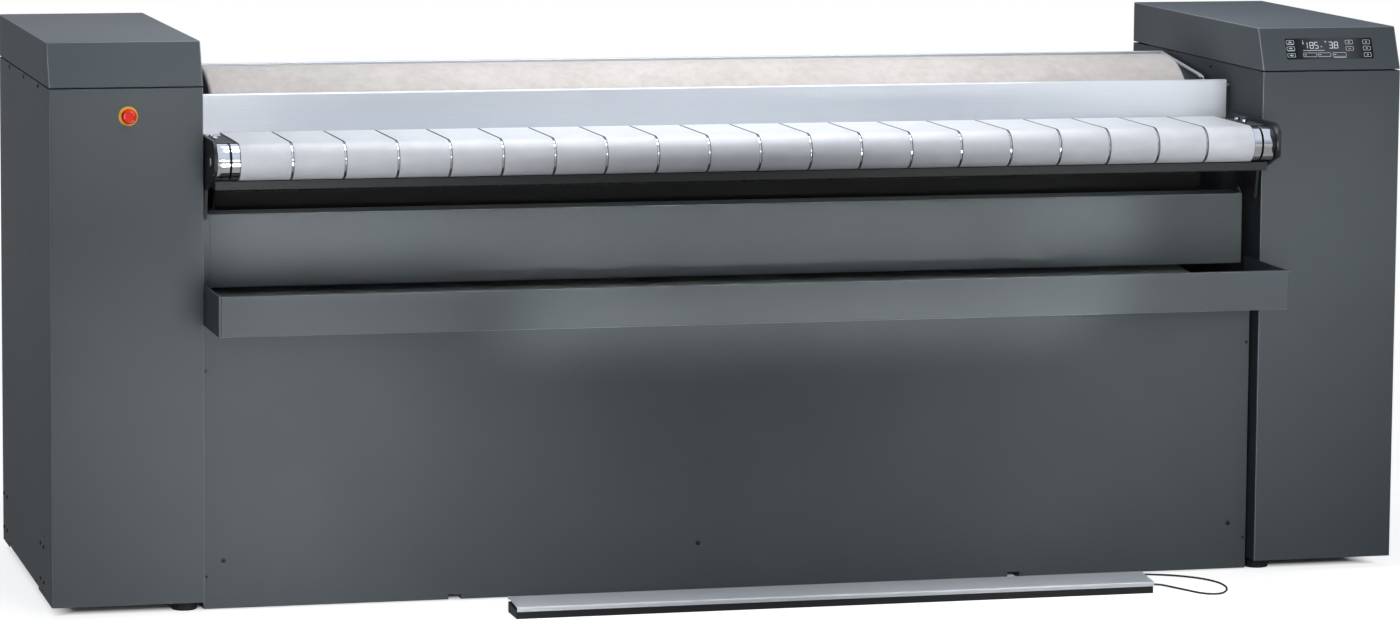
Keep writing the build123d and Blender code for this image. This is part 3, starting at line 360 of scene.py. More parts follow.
def floor_mesh(reach, steps):
    """A square in the plane z = 0, as a grid of two parameters from -reach to reach."""
    side = np.linspace(-reach, reach, steps)
    x, y = np.meshgrid(side, side)
    corners = np.stack([x, y, np.zeros_like(x)], axis=-1).reshape(-1, 3)
    index = np.arange(steps * steps).reshape(steps, steps)
    faces = np.stack([index[:-1, :-1], index[:-1, 1:], index[1:, 1:], index[1:, :-1]], axis=-1)
    mesh = bpy.data.meshes.new("studio_floor")
    mesh.from_pydata(corners.tolist(), [], faces.reshape(-1, 4).tolist())
    return mesh


floor = put("studio_floor", floor_mesh(FLOOR_REACH, 5))
floor.data.materials.append(studio_floor())
print("floor of", 2 * FLOOR_REACH, "m")

# %% [markdown]
# ## Painted sheet metal
#
# The covers, hoods, panels and tray are steel sheet with an anthracite powder
# coat: powder melted in an oven, which leaves a satin skin with a fine pebbled
# grain. The brackets and the table's dark lip have the same coat in black, the
# inner covers and the sheet under the table have the anthracite darkened as
# painted shade, and the carrier round the hot trough has dull stove paint. Folds
# are painted paler, as a painted highlight. The grain is bump alone; a slow change
# of tone keeps large sheets from looking flat.

# %% Mix the powder coats


def new_finish(name, roughness, metallic=0.0, **constants):
    """A material with one shader whose fixed numbers stand on its own sockets. It gives
    the material, its node tree, the shader and the piece's coordinates, by name."""
    finish = bpy.data.materials.new(name)
    tree = empty_tree(finish)
    shader = add(tree, "BsdfPrincipled", {"Roughness": roughness, "Metallic": metallic})
    for socket, value in constants.items():
        shader.inputs[socket.replace("_", " ")].default_value = value
    add(tree, "OutputMaterial", {0: shader.outputs[0]})
    return finish, tree, shader, add(tree, "TexCoord").outputs


def feed(tree, shader, **sources):
    """Links results to the shader's sockets. An underscore stands for a space."""
    for name, source in sources.items():
        tree.links.new(source, shader.inputs[name.replace("_", " ")])


def powder_coat(name, light, dark, edge, roughness):
    """Satin powder coat. The pebbles of a fine texture coat are 0.3 to 1 mm; they are
    drawn 2.5 mm wide, because finer ones would be lost in a picture of this width. A
    folded edge is painted paler, a painted highlight where a rounded fold catches the
    light: a fold is where the surface's direction has no component above about 0.87."""
    finish, tree, shader, spot = new_finish(name, roughness, Specular_IOR_Level=0.4)
    cloud, fine = noise(tree, spot, 450, 3.0), noise(tree, spot, 2.5, 2.0)
    share = ramp(tree, maths(tree, "MULTIPLY_ADD", fine, 0.25, cloud), 0.4, 0.85)
    facing_way = add(tree, "NewGeometry").outputs["Normal"]
    steep = add(tree, "VectorMath", {0: facing_way}, operation="ABSOLUTE").outputs[0]
    x, y, z = (component(tree, steep, number) for number in (0, 1, 2))
    most = maths(tree, "MAXIMUM", maths(tree, "MAXIMUM", x, y), z)
    # The paler edge colour on folds is a painted highlight.
    tone = mix(tree, ramp(tree, most, 0.9, 0.84), mix(tree, share, dark, light), edge)
    gloss = ramp(tree, fine, start=roughness - 0.06, end=roughness + 0.06)
    feed(tree, shader, Base_Color=tone, Roughness=gloss, Normal=bump(tree, fine, 0.12, 0.3))
    return finish


anthracite = powder_coat("anthracite_powder_coat", "#555c60", "#4b5256", "#92999d", 0.6)
black_coat = powder_coat("black_powder_coat", "#15171a", "#111315", "#2d3033", 0.5)
heat_coat = powder_coat("black_stove_paint", "#0b0c0d", "#090a0a", "#141516", 0.8)
# The inner covers and the sheet under the table sit in shadow, so they get the anthracite darkened:
# painted shade.
shaded_anthracite = powder_coat("anthracite_coat_with_painted_shade", "#363b3e", "#2f3437", "#5e6467", 0.6)
print("coats", [coat.name for coat in (anthracite, black_coat, heat_coat, shaded_anthracite)])

# %% [markdown]
# ## Bare and plated metals
#
# A bare metal has no colour of its own under the shine, so it is fully
# metallic. An anodised, extruded or blasted skin scatters light like paint,
# so it is metallic only in part. What tells the metals apart is how the
# surface was made: a brushed or extruded one has long fine lines, a
# zinc-plated one has soft clouds, a turned and chromed tube is nearly a
# mirror with faint rings.

# %% Mix the metals
LINE_LENGTH = 220.0


def lined_metal(name, bright, dull, roughness, line, along, depth, metallic=1.0):
    """Metal with long lines: noise stretched along one axis. line is the width of a
    line in millimetres, and along the axis number that the lines follow."""
    finish, tree, shader, spot = new_finish(name, roughness, metallic)
    stretch = [1 / (line * MM)] * 3
    stretch[along] = 1 / (LINE_LENGTH * MM)
    room = add(tree, "Mapping", {"Vector": spot["Object"], "Scale": stretch})
    links = {"Vector": room.outputs[0], "Scale": 1.0, "Detail": 4.0, "Roughness": 0.6}
    lines = add(tree, "TexNoise", links).outputs[0]
    blend = maths(tree, "MULTIPLY_ADD", noise(tree, spot, 180, 2.0), 0.5, lines)
    tone = mix(tree, ramp(tree, blend, 0.5, 1.0), dull, bright)
    gloss = ramp(tree, lines, 0.3, 0.7, roughness - 0.06, roughness + 0.08)
    feed(tree, shader, Base_Color=tone, Roughness=gloss, Normal=bump(tree, lines, 0.25, depth))
    return finish


# Satin anodising makes a milky, slightly blue skin over long brush lines, which a
# brush leaves 0.1 mm wide; they are drawn 2 mm wide so that they show.
anodised = lined_metal("satin_anodised_aluminium", "#dde1e6", "#d5dae0", 0.42, 2.0, 0, 0.02, 0.5)
# An extrusion carries the die's fine lines along its whole length.
extruded = lined_metal("extruded_aluminium", "#f4f7fb", "#e6ebf1", 0.38, 1.6, 0, 0.04, 0.15)
# Stainless sheet with a blasted skin scatters what little light reaches the plate
# inside the machine, so it reads as an even dark grey and not as a mirror.
blasted_steel = lined_metal("blasted_stainless_sheet", "#ccd0d0", "#bcc0c0", 0.55, 1.5, 1, 0.03, 0.2)
# Ground plate has fine cross lines from the belt grinder and a cool, clean shine.
ground_steel = lined_metal("ground_stainless_plate", "#c9ccd0", "#a8acb0", 0.28, 1.5, 1, 0.04)
# Drawn bar is smooth, with faint lines along its length.
drawn_steel = lined_metal("bright_drawn_bar", "#c2c4c7", "#9a9da1", 0.30, 1.5, 0, 0.04)
metals = (anodised, extruded, blasted_steel, ground_steel, drawn_steel)
print("lined metals", [metal.name for metal in metals])

# %% Plate with zinc and chrome
FEED_GROOVE = (1040.0, 1044.0, 2.0)  # start and end from the roller's middle, and depth


def zinc_plate(name):
    """Zinc-plated sheet: pale cells of 6 to 12 mm in slightly different greys, as the
    zinc froze, under a dull shine."""
    finish, tree, shader, spot = new_finish(name, 0.45, 0.9)
    cells = add(tree, "TexVoronoi", {"Vector": spot["Object"], "Scale": 1 / (9 * MM)})
    grey = add(tree, "SeparateColor", {0: cells.outputs["Color"]}).outputs
    tone = mix(tree, grey[0], "#969a9e", "#aeb2b5")
    feed(tree, shader, Base_Color=tone, Roughness=ramp(tree, grey[1], start=0.38, end=0.52))
    return finish


def chrome_plate(name):
    """Chromed turned tube: a clear mirror, with the lathe's rings showing faintly as
    bands a few millimetres apart along the axis. The guide groove near each end is
    painted dark, as painted shade in the recess."""
    finish, tree, shader, spot = new_finish(name, 0.09, 1.0)
    x = component(tree, spot["Object"], 0)
    links = {"W": x, "Scale": 1 / (3 * MM), "Detail": 2.0}
    rings = add(tree, "TexNoise", links, noise_dimensions="1D").outputs[0]
    groove_x = (FEED_GROOVE[0] + FEED_GROOVE[1]) / 2 * MM
    off = off_from(tree, maths(tree, "ABSOLUTE", x), groove_x)
    # The groove is painted dark: painted shade in the recess.
    groove_shade = ramp(tree, off, 2.4 * MM, 1.9 * MM)
    tone = mix(tree, groove_shade, mix(tree, rings, "#cfd2d5", "#e2e4e6"), "#222426")
    feed(tree, shader, Base_Color=tone, Roughness=ramp(tree, rings, start=0.06, end=0.14))
    return finish


zinc = zinc_plate("zinc_plated_steel")
chrome = chrome_plate("bright_chrome_plate")
print("plated", zinc.name, chrome.name)

# %% [markdown]
# ## Plastics, rubber, paint and glass
#
# Moulded ABS takes the fine grain of its mould and a clear, even colour.
# Rubber is dull and drinks light. The motors wear a thick machine enamel. The
# control panel is a dark hard-coated glass with a printed circuit behind it.

# %% Mix the plastics, rubber and enamel


def moulded(name, light, dark, roughness, grain, depth, **constants):
    """A moulded skin: an even colour with a slow drift, and a fine bump of this grain
    width in millimetres, as the mould's surface leaves it."""
    finish, tree, shader, spot = new_finish(name, roughness, **constants)
    tone = mix(tree, noise(tree, spot, 40, 2.0), dark, light)
    fine = noise(tree, spot, grain, 2.0)
    gloss = ramp(tree, fine, start=roughness - 0.05, end=roughness + 0.05)
    feed(tree, shader, Base_Color=tone, Roughness=gloss, Normal=bump(tree, fine, 0.15, depth))
    return finish


def mottled(name, width, detail, low, high, roughness, metallic=0.0, **constants):
    """A thin even skin whose colour drifts between two, in patches this many millimetres
    wide."""
    finish, tree, shader, spot = new_finish(name, roughness, metallic, **constants)
    feed(tree, shader, Base_Color=mix(tree, noise(tree, spot, width, detail), low, high))
    return finish


black_abs = moulded("black_moulded_abs", "#26282a", "#1e2022", 0.45, 1.0, 0.1)
yellow_abs = moulded("yellow_glossy_abs", "#ffd34a", "#ffc838", 0.4, 1.2, 0.03, Specular_IOR_Level=0.3)
red_abs = moulded("red_glossy_abs", "#f52a18", "#ea2112", 0.42, 1.2, 0.03, Specular_IOR_Level=0.2)
rubber = moulded("black_moulded_rubber", "#1d1e20", "#151618", 0.75, 1.5, 0.15)
enamel = moulded("grey_machine_enamel", "#6a7076", "#5d6369", 0.35, 4.0, 0.2)
sheath = moulded("black_pvc_sheath", "#303436", "#282c2e", 0.42, 1.0, 0.05)
cable_line.materials.append(sheath)
skins = (black_abs, yellow_abs, red_abs, rubber, enamel, sheath)
print("moulded finishes", [skin.name for skin in skins])

# %% Coat the glass and print the board
GLASS_GLOW_X = 1.235
TRACK_WIDTH = 9.0


def dark_glass(name):
    """Back-printed glass: nearly black, a touch lighter in the middle where the light
    from behind leaks through, with a hard clear face."""
    finish, tree, shader, spot = new_finish(name, 0.2, Specular_IOR_Level=0.15)
    away = off_from(tree, component(tree, spot["Object"], 0), GLASS_GLOW_X)
    share = ramp(tree, away, 0.02, 0.09, interpolation_type="SMOOTHSTEP")
    feed(tree, shader, Base_Color=mix(tree, share, "#505356", "#1a1e1f"))
    return finish


def circuit_board(name):
    """Green solder mask over copper tracks, drawn as narrow bricks."""
    finish, tree, shader, spot = new_finish(name, 0.35)
    links = {"Vector": spot["Object"], "Scale": 1 / (TRACK_WIDTH * MM), "Mortar Size": 0.04}
    tracks = add(tree, "TexBrick", links).outputs["Fac"]
    feed(tree, shader, Base_Color=mix(tree, tracks, "#14492b", "#2f7a48"))
    return finish


glass = dark_glass("back_printed_dark_glass")
board = circuit_board("green_circuit_board")
print("glass and board", glass.name, board.name)

# %% [markdown]
# ## Dress the CAD nodes
#
# A node whose shape is right keeps it and only gets its finish. The table
# below reads like a paint list: one finish, then the nodes that wear it. The
# nodes that are left out are replaced by finer pieces further down.

# %% Give each node its finish
COLUMN_SHEETS = ("front_cover", "outer_cover", "rear_cover", "hood")
PAINT_LIST = {
    anthracite: [
        *(side + "_" + sheet for side in ("left", "right") for sheet in COLUMN_SHEETS),
        "lower_front_panel", "upper_front_panel", "laundry_tray", "rear_panel",
    ],
    black_coat: ["table_brackets", "table_pan", "foot_bar_base", "roller_ends"],
    heat_coat: ["trough_carrier"],
    zinc: ["side_frames", "cross_beams"],
    shaded_anthracite: ["right_inner_cover", "left_inner_cover", "table_sheet"],
    ground_steel: ["heated_trough"],
    blasted_steel: ["return_plate"],
    anodised: ["finger_guard", "rear_roller_cover"],
    extruded: ["foot_bar_plate"],
    drawn_steel: [
        "roller_tube", "finger_guard_pivots", "trough_guide_pins", "lift_shaft", "drive_chain",
        "roller_sprocket", "motor_sprocket", "heating_elements", "emergency_stop_stem",
    ],
    enamel: ["feed_motor", "drive_motor", "lift_motor", "roller_bearings", "lift_shaft_bearings"],
    black_abs: [
        "feed_roller_bearings", "exhaust_fan_housing", "fan_impeller", "mains_terminal_box",
        "foot_bar_switch",
    ],
    rubber: ["levelling_feet"],
    glass: ["display_glass"],
    board: ["control_board"],
}


def dress(node, finish):
    """Puts one finish on all of a node's material slots."""
    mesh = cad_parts[node].data
    mesh.materials.clear()
    mesh.materials.append(finish)


for finish, nodes in PAINT_LIST.items():
    for node in nodes:
        dress(node, finish)
dressed = {node for nodes in PAINT_LIST.values() for node in nodes}
print("nodes to replace", sorted(set(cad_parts) - dressed))

# %% [markdown]
# ## Making a piece from a grid of points
#
# Every new piece is one or more grids of points. A grid is a rectangle of
# rows and columns bent into shape: a tube closes on itself, a cap is a row
# that shrinks to one point. The helper below turns grids into one mesh, and
# merges the points where a grid meets itself, so that nothing is left open.

# %% Write the grid helper


def join_grids(name, grids, finish, body, uvs=None, sharp=35):
    """One piece from grids of shape (rows, columns, 3) in metres. Four neighbouring
    points make a face. Points that fall together are merged, and then the faces are
    turned outwards. Edges sharper than the given degrees stay crisp."""
    points, faces, flat, start = [], [], [], 0
    for number, grid in enumerate(grids):
        rows, columns = grid.shape[:2]
        index = np.arange(rows * columns).reshape(rows, columns) + start
        around = (index[:-1, :-1], index[1:, :-1], index[1:, 1:], index[:-1, 1:])
        faces.append(np.stack(around, axis=-1).reshape(-1, 4))
        points.append(grid.reshape(-1, 3))
        flat.append(np.zeros((rows * columns, 2)) if uvs is None else uvs[number].reshape(-1, 2))
        start += rows * columns
    points, faces, flat = np.concatenate(points), np.concatenate(faces), np.concatenate(flat)
    mesh = bpy.data.meshes.new(name)
    mesh.from_pydata(points.tolist(), [], faces.tolist())
    layer = mesh.uv_layers.new(name="along_and_across")
    layer.data.foreach_set("uv", flat[faces.ravel()].ravel())
    shell = bmesh.new()
    shell.from_mesh(mesh)
    bmesh.ops.remove_doubles(shell, verts=shell.verts, dist=2e-6)
    bmesh.ops.dissolve_degenerate(shell, edges=shell.edges, dist=1e-7)
    bmesh.ops.recalc_face_normals(shell, faces=shell.faces)
    shell.to_mesh(mesh)
    shell.free()
    mesh.shade_smooth()
    mesh.set_sharp_from_angle(angle=math.radians(sharp))
    mesh.materials.append(finish)
    piece = put(name, mesh)
    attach(piece, body)
    print(name, "has", len(mesh.polygons), "faces")
    return piece


def rounded_box_outline(width, height, radius, steps):
    """A closed outline of points (across, up): each corner is a quarter circle of this
    radius, and the last point repeats the first."""
    angle = np.linspace(0, np.pi / 2, steps)
    corners = []
    for quarter, (side, level) in enumerate(((1, 1), (-1, 1), (-1, -1), (1, -1))):
        turn = angle + quarter * np.pi / 2
        middle = np.array([side * (width / 2 - radius), level * (height / 2 - radius)])
        corners.append(middle + radius * np.stack([np.cos(turn), np.sin(turn)], axis=-1))
    ring = np.concatenate(corners)
    return np.concatenate([ring, ring[:1]])


print("outline of", len(rounded_box_outline(10, 2, 0.5, 4)), "points")

# %% [markdown]
# ## The feed belts
#
# Twenty endless belts of coated webbing carry the linen over the table. A
# belt is woven, then coated white, so the weave shows only as a faint ribbing
# under a satin skin. The surface has two parameters: one runs along the loop,
# the other round the belt's flat cross-section.

# %% Weave the belts' finish
FEED_FRONT_Y, FEED_REAR_Y, FEED_Z = -70.0, 138.0, 888.0
BELT_MIDDLE_R, BELT_WIDTH, BELT_WALL = 35.3, 99.4, 2.0
BELT_RUN = FEED_REAR_Y - FEED_FRONT_Y
BELT_BEND = math.pi * BELT_MIDDLE_R
BELT_LENGTH = 2 * (BELT_RUN + BELT_BEND)
THREAD_GAP = 3.0
# The width in millimetres of the painted shade along each belt edge.
EDGE_SHADE_WIDTH = 1.2


def coated_webbing(name):
    """Coated webbing: ribs run across the belt where the weft lies under the coat. Real
    ribs are 1 mm apart; they are drawn 3 mm apart so that they show. Both edges are
    painted dark, as painted shade in the gaps between neighbouring belts."""
    finish, tree, shader, spot = new_finish(name, 0.42, Sheen_Weight=0.15, Sheen_Roughness=0.4)
    u, v = (component(tree, spot["UV"], number) for number in (0, 1))
    weft = waves(tree, u, BELT_LENGTH / THREAD_GAP)
    warp = waves(tree, v, 2 * BELT_WIDTH / THREAD_GAP)
    weave = maths(tree, "MULTIPLY_ADD", weft, 0.4, warp)
    soil = ramp(tree, noise(tree, spot, 35, 4.0), 0.3, 0.7)
    # Both edges are painted #4a5056: painted shade in the gaps between belts.
    edge_shade = EDGE_SHADE_WIDTH / (2 * BELT_WIDTH)
    beside = ramp(tree, off_from(tree, v, 0.5), 0.25 - edge_shade, 0.25 - 0.6 * edge_shade)
    tone = mix(tree, beside, mix(tree, soil, "#e2e5ec", "#e9ecf1"), "#4a5056")
    feed(tree, shader, Base_Color=tone, Normal=bump(tree, weave, 0.12, 0.15))
    return finish


webbing = coated_webbing("white_coated_webbing")
print("belt length", round(BELT_LENGTH), "mm")

# %% Bend the belts round their rollers
BELT_COUNT = 20
BELT_PITCH = 102.6
BELT_CORNER = 0.7


def belt_path(share):
    """A point and its outward direction, in y and z, at each share of the loop: straight
    above the table, half a turn round the front roller, back below, half a turn round
    the rear one."""
    along = (share % 1.0) * BELT_LENGTH
    starts = np.cumsum([0, BELT_RUN, BELT_BEND, BELT_RUN])
    stretch = np.searchsorted(starts, along, side="right") - 1
    within = along - starts[stretch]
    bent = within / BELT_MIDDLE_R
    turn = np.choose(stretch, (0.0, bent, np.pi, np.pi + bent))
    y = np.choose(stretch, (FEED_REAR_Y - within, FEED_FRONT_Y, FEED_FRONT_Y + within, FEED_REAR_Y))
    out = np.stack([-np.sin(turn), np.cos(turn)], axis=-1)
    return np.stack([y, np.full_like(y, FEED_Z)], axis=-1) + BELT_MIDDLE_R * out, out


def belt_grid(middle_x, start):
    """One belt: the flat outline (across, thick) carried along the loop. A point is the
    loop's point, plus its thickness outwards, plus its place across the belt along X.
    start shifts the ribs, so that they don't line up from belt to belt."""
    stops = np.cumsum([0, BELT_RUN, BELT_BEND, BELT_RUN, BELT_BEND]) / BELT_LENGTH
    spans = zip(stops, stops[1:], (6, 18, 6, 18))
    share = np.concatenate([np.linspace(a, b, n, endpoint=False) for a, b, n in spans] + [[1.0]])
    outline = rounded_box_outline(BELT_WIDTH, BELT_WALL, BELT_CORNER, 3)
    centre, out = belt_path(share)
    yz = centre[:, None] + outline[None, :, 1:] * out[:, None]
    x = middle_x + np.broadcast_to(outline[None, :, 0], yz.shape[:2])
    u = np.broadcast_to(share[:, None] + start, x.shape)
    v = 0.5 + (x - middle_x) / (2 * BELT_WIDTH)
    return place(x, yz[..., 0], yz[..., 1]), np.stack([u, v], axis=-1)


starts = np.random.default_rng(4).random(BELT_COUNT)
middles = (np.arange(BELT_COUNT) - (BELT_COUNT - 1) / 2) * BELT_PITCH
belts, belt_uvs = zip(*(belt_grid(x, start) for x, start in zip(middles, starts)))
feed_belts = join_grids("woven_feed_belts", belts, webbing, "chassis", belt_uvs)
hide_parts("feed_belts")

# %% [markdown]
# ## The roller cloth
#
# The ironing roller wears a springy padding and over it a stretched woven
# cloth that stands the heat. It is cream, mottled from use, and wound once
# round with its free end lapped over the start. The lap is a step of under a
# millimetre that runs the length of the roller.

# %% Weave the roller cloth's finish
ROLLER_Y, ROLLER_Z, ROLLER_R, ROLLER_HALF = 411.0, 849.0, 182.5, 1019.0
THREADS_ROUND = 380


def roller_cloth(name):
    """Heat-proof woven cloth: cream, with mottling of 10 to 30 mm from damp linen and
    heat, a soft nap, and threads that are drawn 3 mm apart where real ones are 1 mm."""
    finish, tree, shader, spot = new_finish(name, 0.92, Sheen_Weight=0.35, Sheen_Roughness=0.5)
    u, v = (component(tree, spot["UV"], number) for number in (0, 1))
    warp = waves(tree, u, THREADS_ROUND)
    weft = waves(tree, v, 2 * ROLLER_HALF / THREAD_GAP)
    weave = maths(tree, "MULTIPLY", warp, weft)
    blots = noise(tree, spot, 22, 5.0, Roughness=0.65)
    blend = maths(tree, "MULTIPLY_ADD", noise(tree, spot, 140, 2.0), 0.6, blots)
    tone = mix(tree, ramp(tree, blend, 0.6, 1.0), "#cec8c4", "#dfdad7")
    nap = maths(tree, "MULTIPLY_ADD", blots, 1.5, weave)
    feed(tree, shader, Base_Color=tone, Normal=bump(tree, nap, 0.2, 0.4))
    return finish


cream_cloth = roller_cloth("cream_heat_proof_cloth")
print("cloth", cream_cloth.name)

# %% Wind the cloth on the roller
LAP_STEP, LAP_RUN, LAP_AT = 0.8, 60.0, math.radians(130)
PADDING_INNER_R = 172.7
END_ROUND = 6.0
SKIN_GAP = 0.15  # keeps the cloth's waves inside the roller's full radius
WAVE_HEIGHT, WAVE_LENGTH = 0.12, 37.0


def cloth_grid(angles, lengths):
    """The padded cloth as a closed shell. Along the roller the profile goes out along
    the skin, rounds over the ends and comes back inside; round the roller the skin's
    radius rises by the lap's step before the free end and drops at it."""
    turn = np.linspace(0, 2 * np.pi, angles)
    before = (LAP_AT - turn) % (2 * np.pi)
    rise = LAP_STEP * np.clip(1 - before * ROLLER_R / LAP_RUN, 0, 1)
    straight = ROLLER_HALF - END_ROUND
    skin = np.linspace(-1, 1, lengths) * straight
    bend = np.linspace(0, np.pi / 2, 5)[1:]
    edge, dip = straight + END_ROUND * np.sin(bend), END_ROUND * (1 - np.cos(bend))
    along = np.concatenate([skin, edge, [ROLLER_HALF, -ROLLER_HALF], -edge[::-1], skin[:1]])
    drop = np.concatenate([0 * skin, dip, [0, 0], dip[::-1], [0]])
    inside = np.zeros(len(along), bool)
    inside[lengths + len(bend) : lengths + len(bend) + 2] = True
    wave = WAVE_HEIGHT * np.sin(along / WAVE_LENGTH)[None] * np.sin(3 * turn + 0.4)[:, None]
    outer = ROLLER_R - SKIN_GAP - LAP_STEP + rise[:, None] + wave - drop[None]
    radius = np.where(inside[None], PADDING_INNER_R, outer)
    y = ROLLER_Y + radius * np.sin(turn)[:, None]
    z = ROLLER_Z + radius * np.cos(turn)[:, None]
    u = np.broadcast_to((turn / (2 * np.pi))[:, None], radius.shape)
    v = np.broadcast_to(0.5 + along[None] / (2 * ROLLER_HALF), radius.shape)
    return place(np.broadcast_to(along[None], radius.shape), y, z), np.stack([u, v], axis=-1)


cloth_points, cloth_uv = cloth_grid(289, 120)
cloth = join_grids("padded_roller_cloth", [cloth_points], cream_cloth, "roller", [cloth_uv])
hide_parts("roller_padding")

# %% [markdown]
# ## Turned and stamped small parts
#
# Screws, knobs, the stop button and the cable's boots are all turned parts: a
# profile carried round an axis. Where a part has a hexagon socket or a
# knurled rim, its radius also changes with the angle.

# %% Turn a profile round an axis


def turned(profile, centre, axis, steps=36, swell=None):
    """Grid of a turned part. profile lists (distance along the axis, radius) in
    millimetres; a point is centre + distance * axis + radius * (cos t * side + sin t *
    up). swell, if given, multiplies the radii by a value for each angle and point."""
    along, radius = np.transpose(profile).astype(float)
    axis = np.asarray(axis, float)
    side = np.cross(axis, (0.0, 0.0, 1.0)) if abs(axis[2]) < 0.9 else np.array([1.0, 0.0, 0.0])
    side = side / np.linalg.norm(side)
    up = np.cross(axis, side)
    turn = np.linspace(0, 2 * np.pi, steps + 1)
    reach = np.broadcast_to(radius[None], (len(turn), len(radius)))
    if swell is not None:
        reach = reach * swell(turn)
    ring = np.cos(turn)[:, None, None] * side + np.sin(turn)[:, None, None] * up
    points = np.asarray(centre, float) + along[None, :, None] * axis + reach[..., None] * ring
    return place(*np.moveaxis(points, -1, 0))


def closed(profile):
    """A profile with its first point repeated at the end, for a part with a bore."""
    return profile + profile[:1]


washer = turned(closed([(0, 2), (0, 4), (1, 4), (1, 2)]), (0, 0, 0), (0, 0, 1))
print("a washer has", washer.shape, "points")

# %% [markdown]
# ## The chromed feed rollers
#
# The ends of the feed rollers shine beside the outermost belts. They are
# mirrors, and a mirror shows every flat of a coarse round, so both rollers are
# turned again in fine steps: shaft, end wall, rounded edge and guide groove.

# %% Turn the feed rollers in fine steps
FEED_R, FEED_HALF = 34.0, 1069.4
SHAFT_R, SHAFT_END = 10.0, 1078.0
MOTOR_SHAFT_END = 1157.0  # the rear roller's left shaft reaches its motor


def feed_profile(far_end):
    """Half a feed roller's outline from its middle to the shaft's end, as (distance,
    radius): the tube, the groove with its edges broken by 0.5 mm, and the shaft."""
    near, far, depth = FEED_GROOVE
    line = [(near - 0.5, FEED_R), (near, FEED_R - 0.5), (near, FEED_R - depth)]
    line += [(far, FEED_R - depth), (far, FEED_R - 0.5), (far + 0.5, FEED_R)]
    line += [(FEED_HALF - 1.5, FEED_R), (FEED_HALF - 0.45, FEED_R - 0.45), (FEED_HALF, FEED_R - 1.5)]
    line += [(FEED_HALF, SHAFT_R), (far_end - 1, SHAFT_R), (far_end, SHAFT_R - 1), (far_end, 0)]
    return line


for name, y, left_end, body in (
    ("front_feed_tube", FEED_FRONT_Y, SHAFT_END, "front_feed"),
    ("rear_feed_tube", FEED_REAR_Y, MOTOR_SHAFT_END, "rear_feed"),
):
    left = [(-along, radius) for along, radius in feed_profile(left_end)[::-1]]
    tube = turned(left + feed_profile(SHAFT_END), (0.0, y, FEED_Z), (1.0, 0.0, 0.0), steps=120)
    piece = join_grids(name, [tube], chrome, body)
    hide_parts(name.replace("tube", "roller"))

# %% [markdown]
# ## Cover screws
#
# Low button-head screws with a hexagon socket hold the covers. They are zinc
# plated and passivated black, so they read as small dark dots with a bright
# rim.

# %% Blacken and turn the cover screws
SCREW_POINTS = 8
# Each head's radius and height.
LARGE, MEDIUM, SMALL, BRACKET_HEAD = (4.5, 2.4), (3.5, 1.8), (3.0, 1.6), (4.0, 1.6)
FORWARD = (0, -1, 0)
X_OUT, X_IN, X_PANEL, X_BRACKET = 1375.0, 1079.0, 1069.0, 1070.0
PANEL_Y = 42.0


def hexagon(first):
    """A swell that leaves the points before first round and pulls the later ones to a
    hexagon: cos 30 / cos(angle from the middle of the nearest flat)."""

    def swell(turn):
        flat = np.cos(np.pi / 6) / np.cos((turn % (np.pi / 3)) - np.pi / 6)
        shares = np.ones((len(turn), SCREW_POINTS))
        shares[:, first:] = flat[:, None]
        return shares

    return swell


def button_screw(place_mm, direction, radius, height):
    """A button head: round outside, with a socket half the head's width and two thirds
    of its height deep."""
    profile = [(0, 0), (0, radius), (0.45 * height, radius), (0.82 * height, 0.87 * radius)]
    profile += [(height, 0.62 * radius), (height, 0.52 * radius)]
    profile += [(0.35 * height, 0.50 * radius), (0.35 * height, 0)]
    return turned(profile, place_mm, direction, 24, hexagon(5))


screws = [button_screw((x, PANEL_Y, 97.0), FORWARD, *LARGE) for x in (-1036.0, -83.0, 1036.0)]
for side in (-1, 1):
    outward, inward = (side, 0, 0), (-side, 0, 0)
    cover = [(y, 1018.0) for y in (162.0, 391.0, 623.0)]
    cover += [(y, z) for y in (122.0, 172.0, 722.0, 772.0) for z in (53.0, 123.0)]
    inner = [(309.0, 1012.0), (34.0, 474.0), (30.0, 74.0)]
    screws += [button_screw((side * X_OUT, y, z), outward, *LARGE) for y, z in cover]
    screws += [button_screw((side * X_OUT, y, 34.0), outward, *SMALL) for y in (245.0, 680.0)]
    screws += [button_screw((side * X_IN, y, z), inward, *MEDIUM) for y, z in inner]
    screws += [button_screw((side * X_PANEL, PANEL_Y, z), FORWARD, *SMALL) for z in (66.0, 470.0)]
    screws.append(button_screw((side * X_BRACKET, 48.0, 789.0), inward, *BRACKET_HEAD))
# Black passivated zinc is dark with a satin shine. The key rubs it in spots about a
# millimetre wide.
black = mottled("black_passivated_zinc", 1.2, 2.0, "#0d0e0f", "#1d1f21", 0.3, 0.5)
black_screws = join_grids("button_head_screws", screws, black, "chassis")
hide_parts("cover_screws")
print(len(screws), "screws")

# %% [markdown]
# ## Knurled table screws
#
# Two bright knurled screws on each side hold the table plate beside the
# outermost belts. Fingers turn them, so their rims are cut with fine grooves.

# %% Knurl the table screws
KNOB_TOP, KNOB_HEIGHT = 929.8, 8.0
KNOB = [
    (0, 0), (0, 2.5), (3.4, 2.5), (3.4, 4.6), (3.6, 5.0), (4.0, 5.5), (6.2, 5.5), (7.2, 5.4),
    (KNOB_HEIGHT, 4.6), (KNOB_HEIGHT, 0),
]
KNURLS = 30


def knurl(turn):
    """Thirty grooves round the rim: the radius of the three rim points dips by a
    twentieth with the cosine of thirty times the angle."""
    shares = np.ones((len(turn), len(KNOB)))
    shares[:, 5:8] = 1 - 0.025 * (1 + np.cos(KNURLS * turn))[:, None]
    return shares


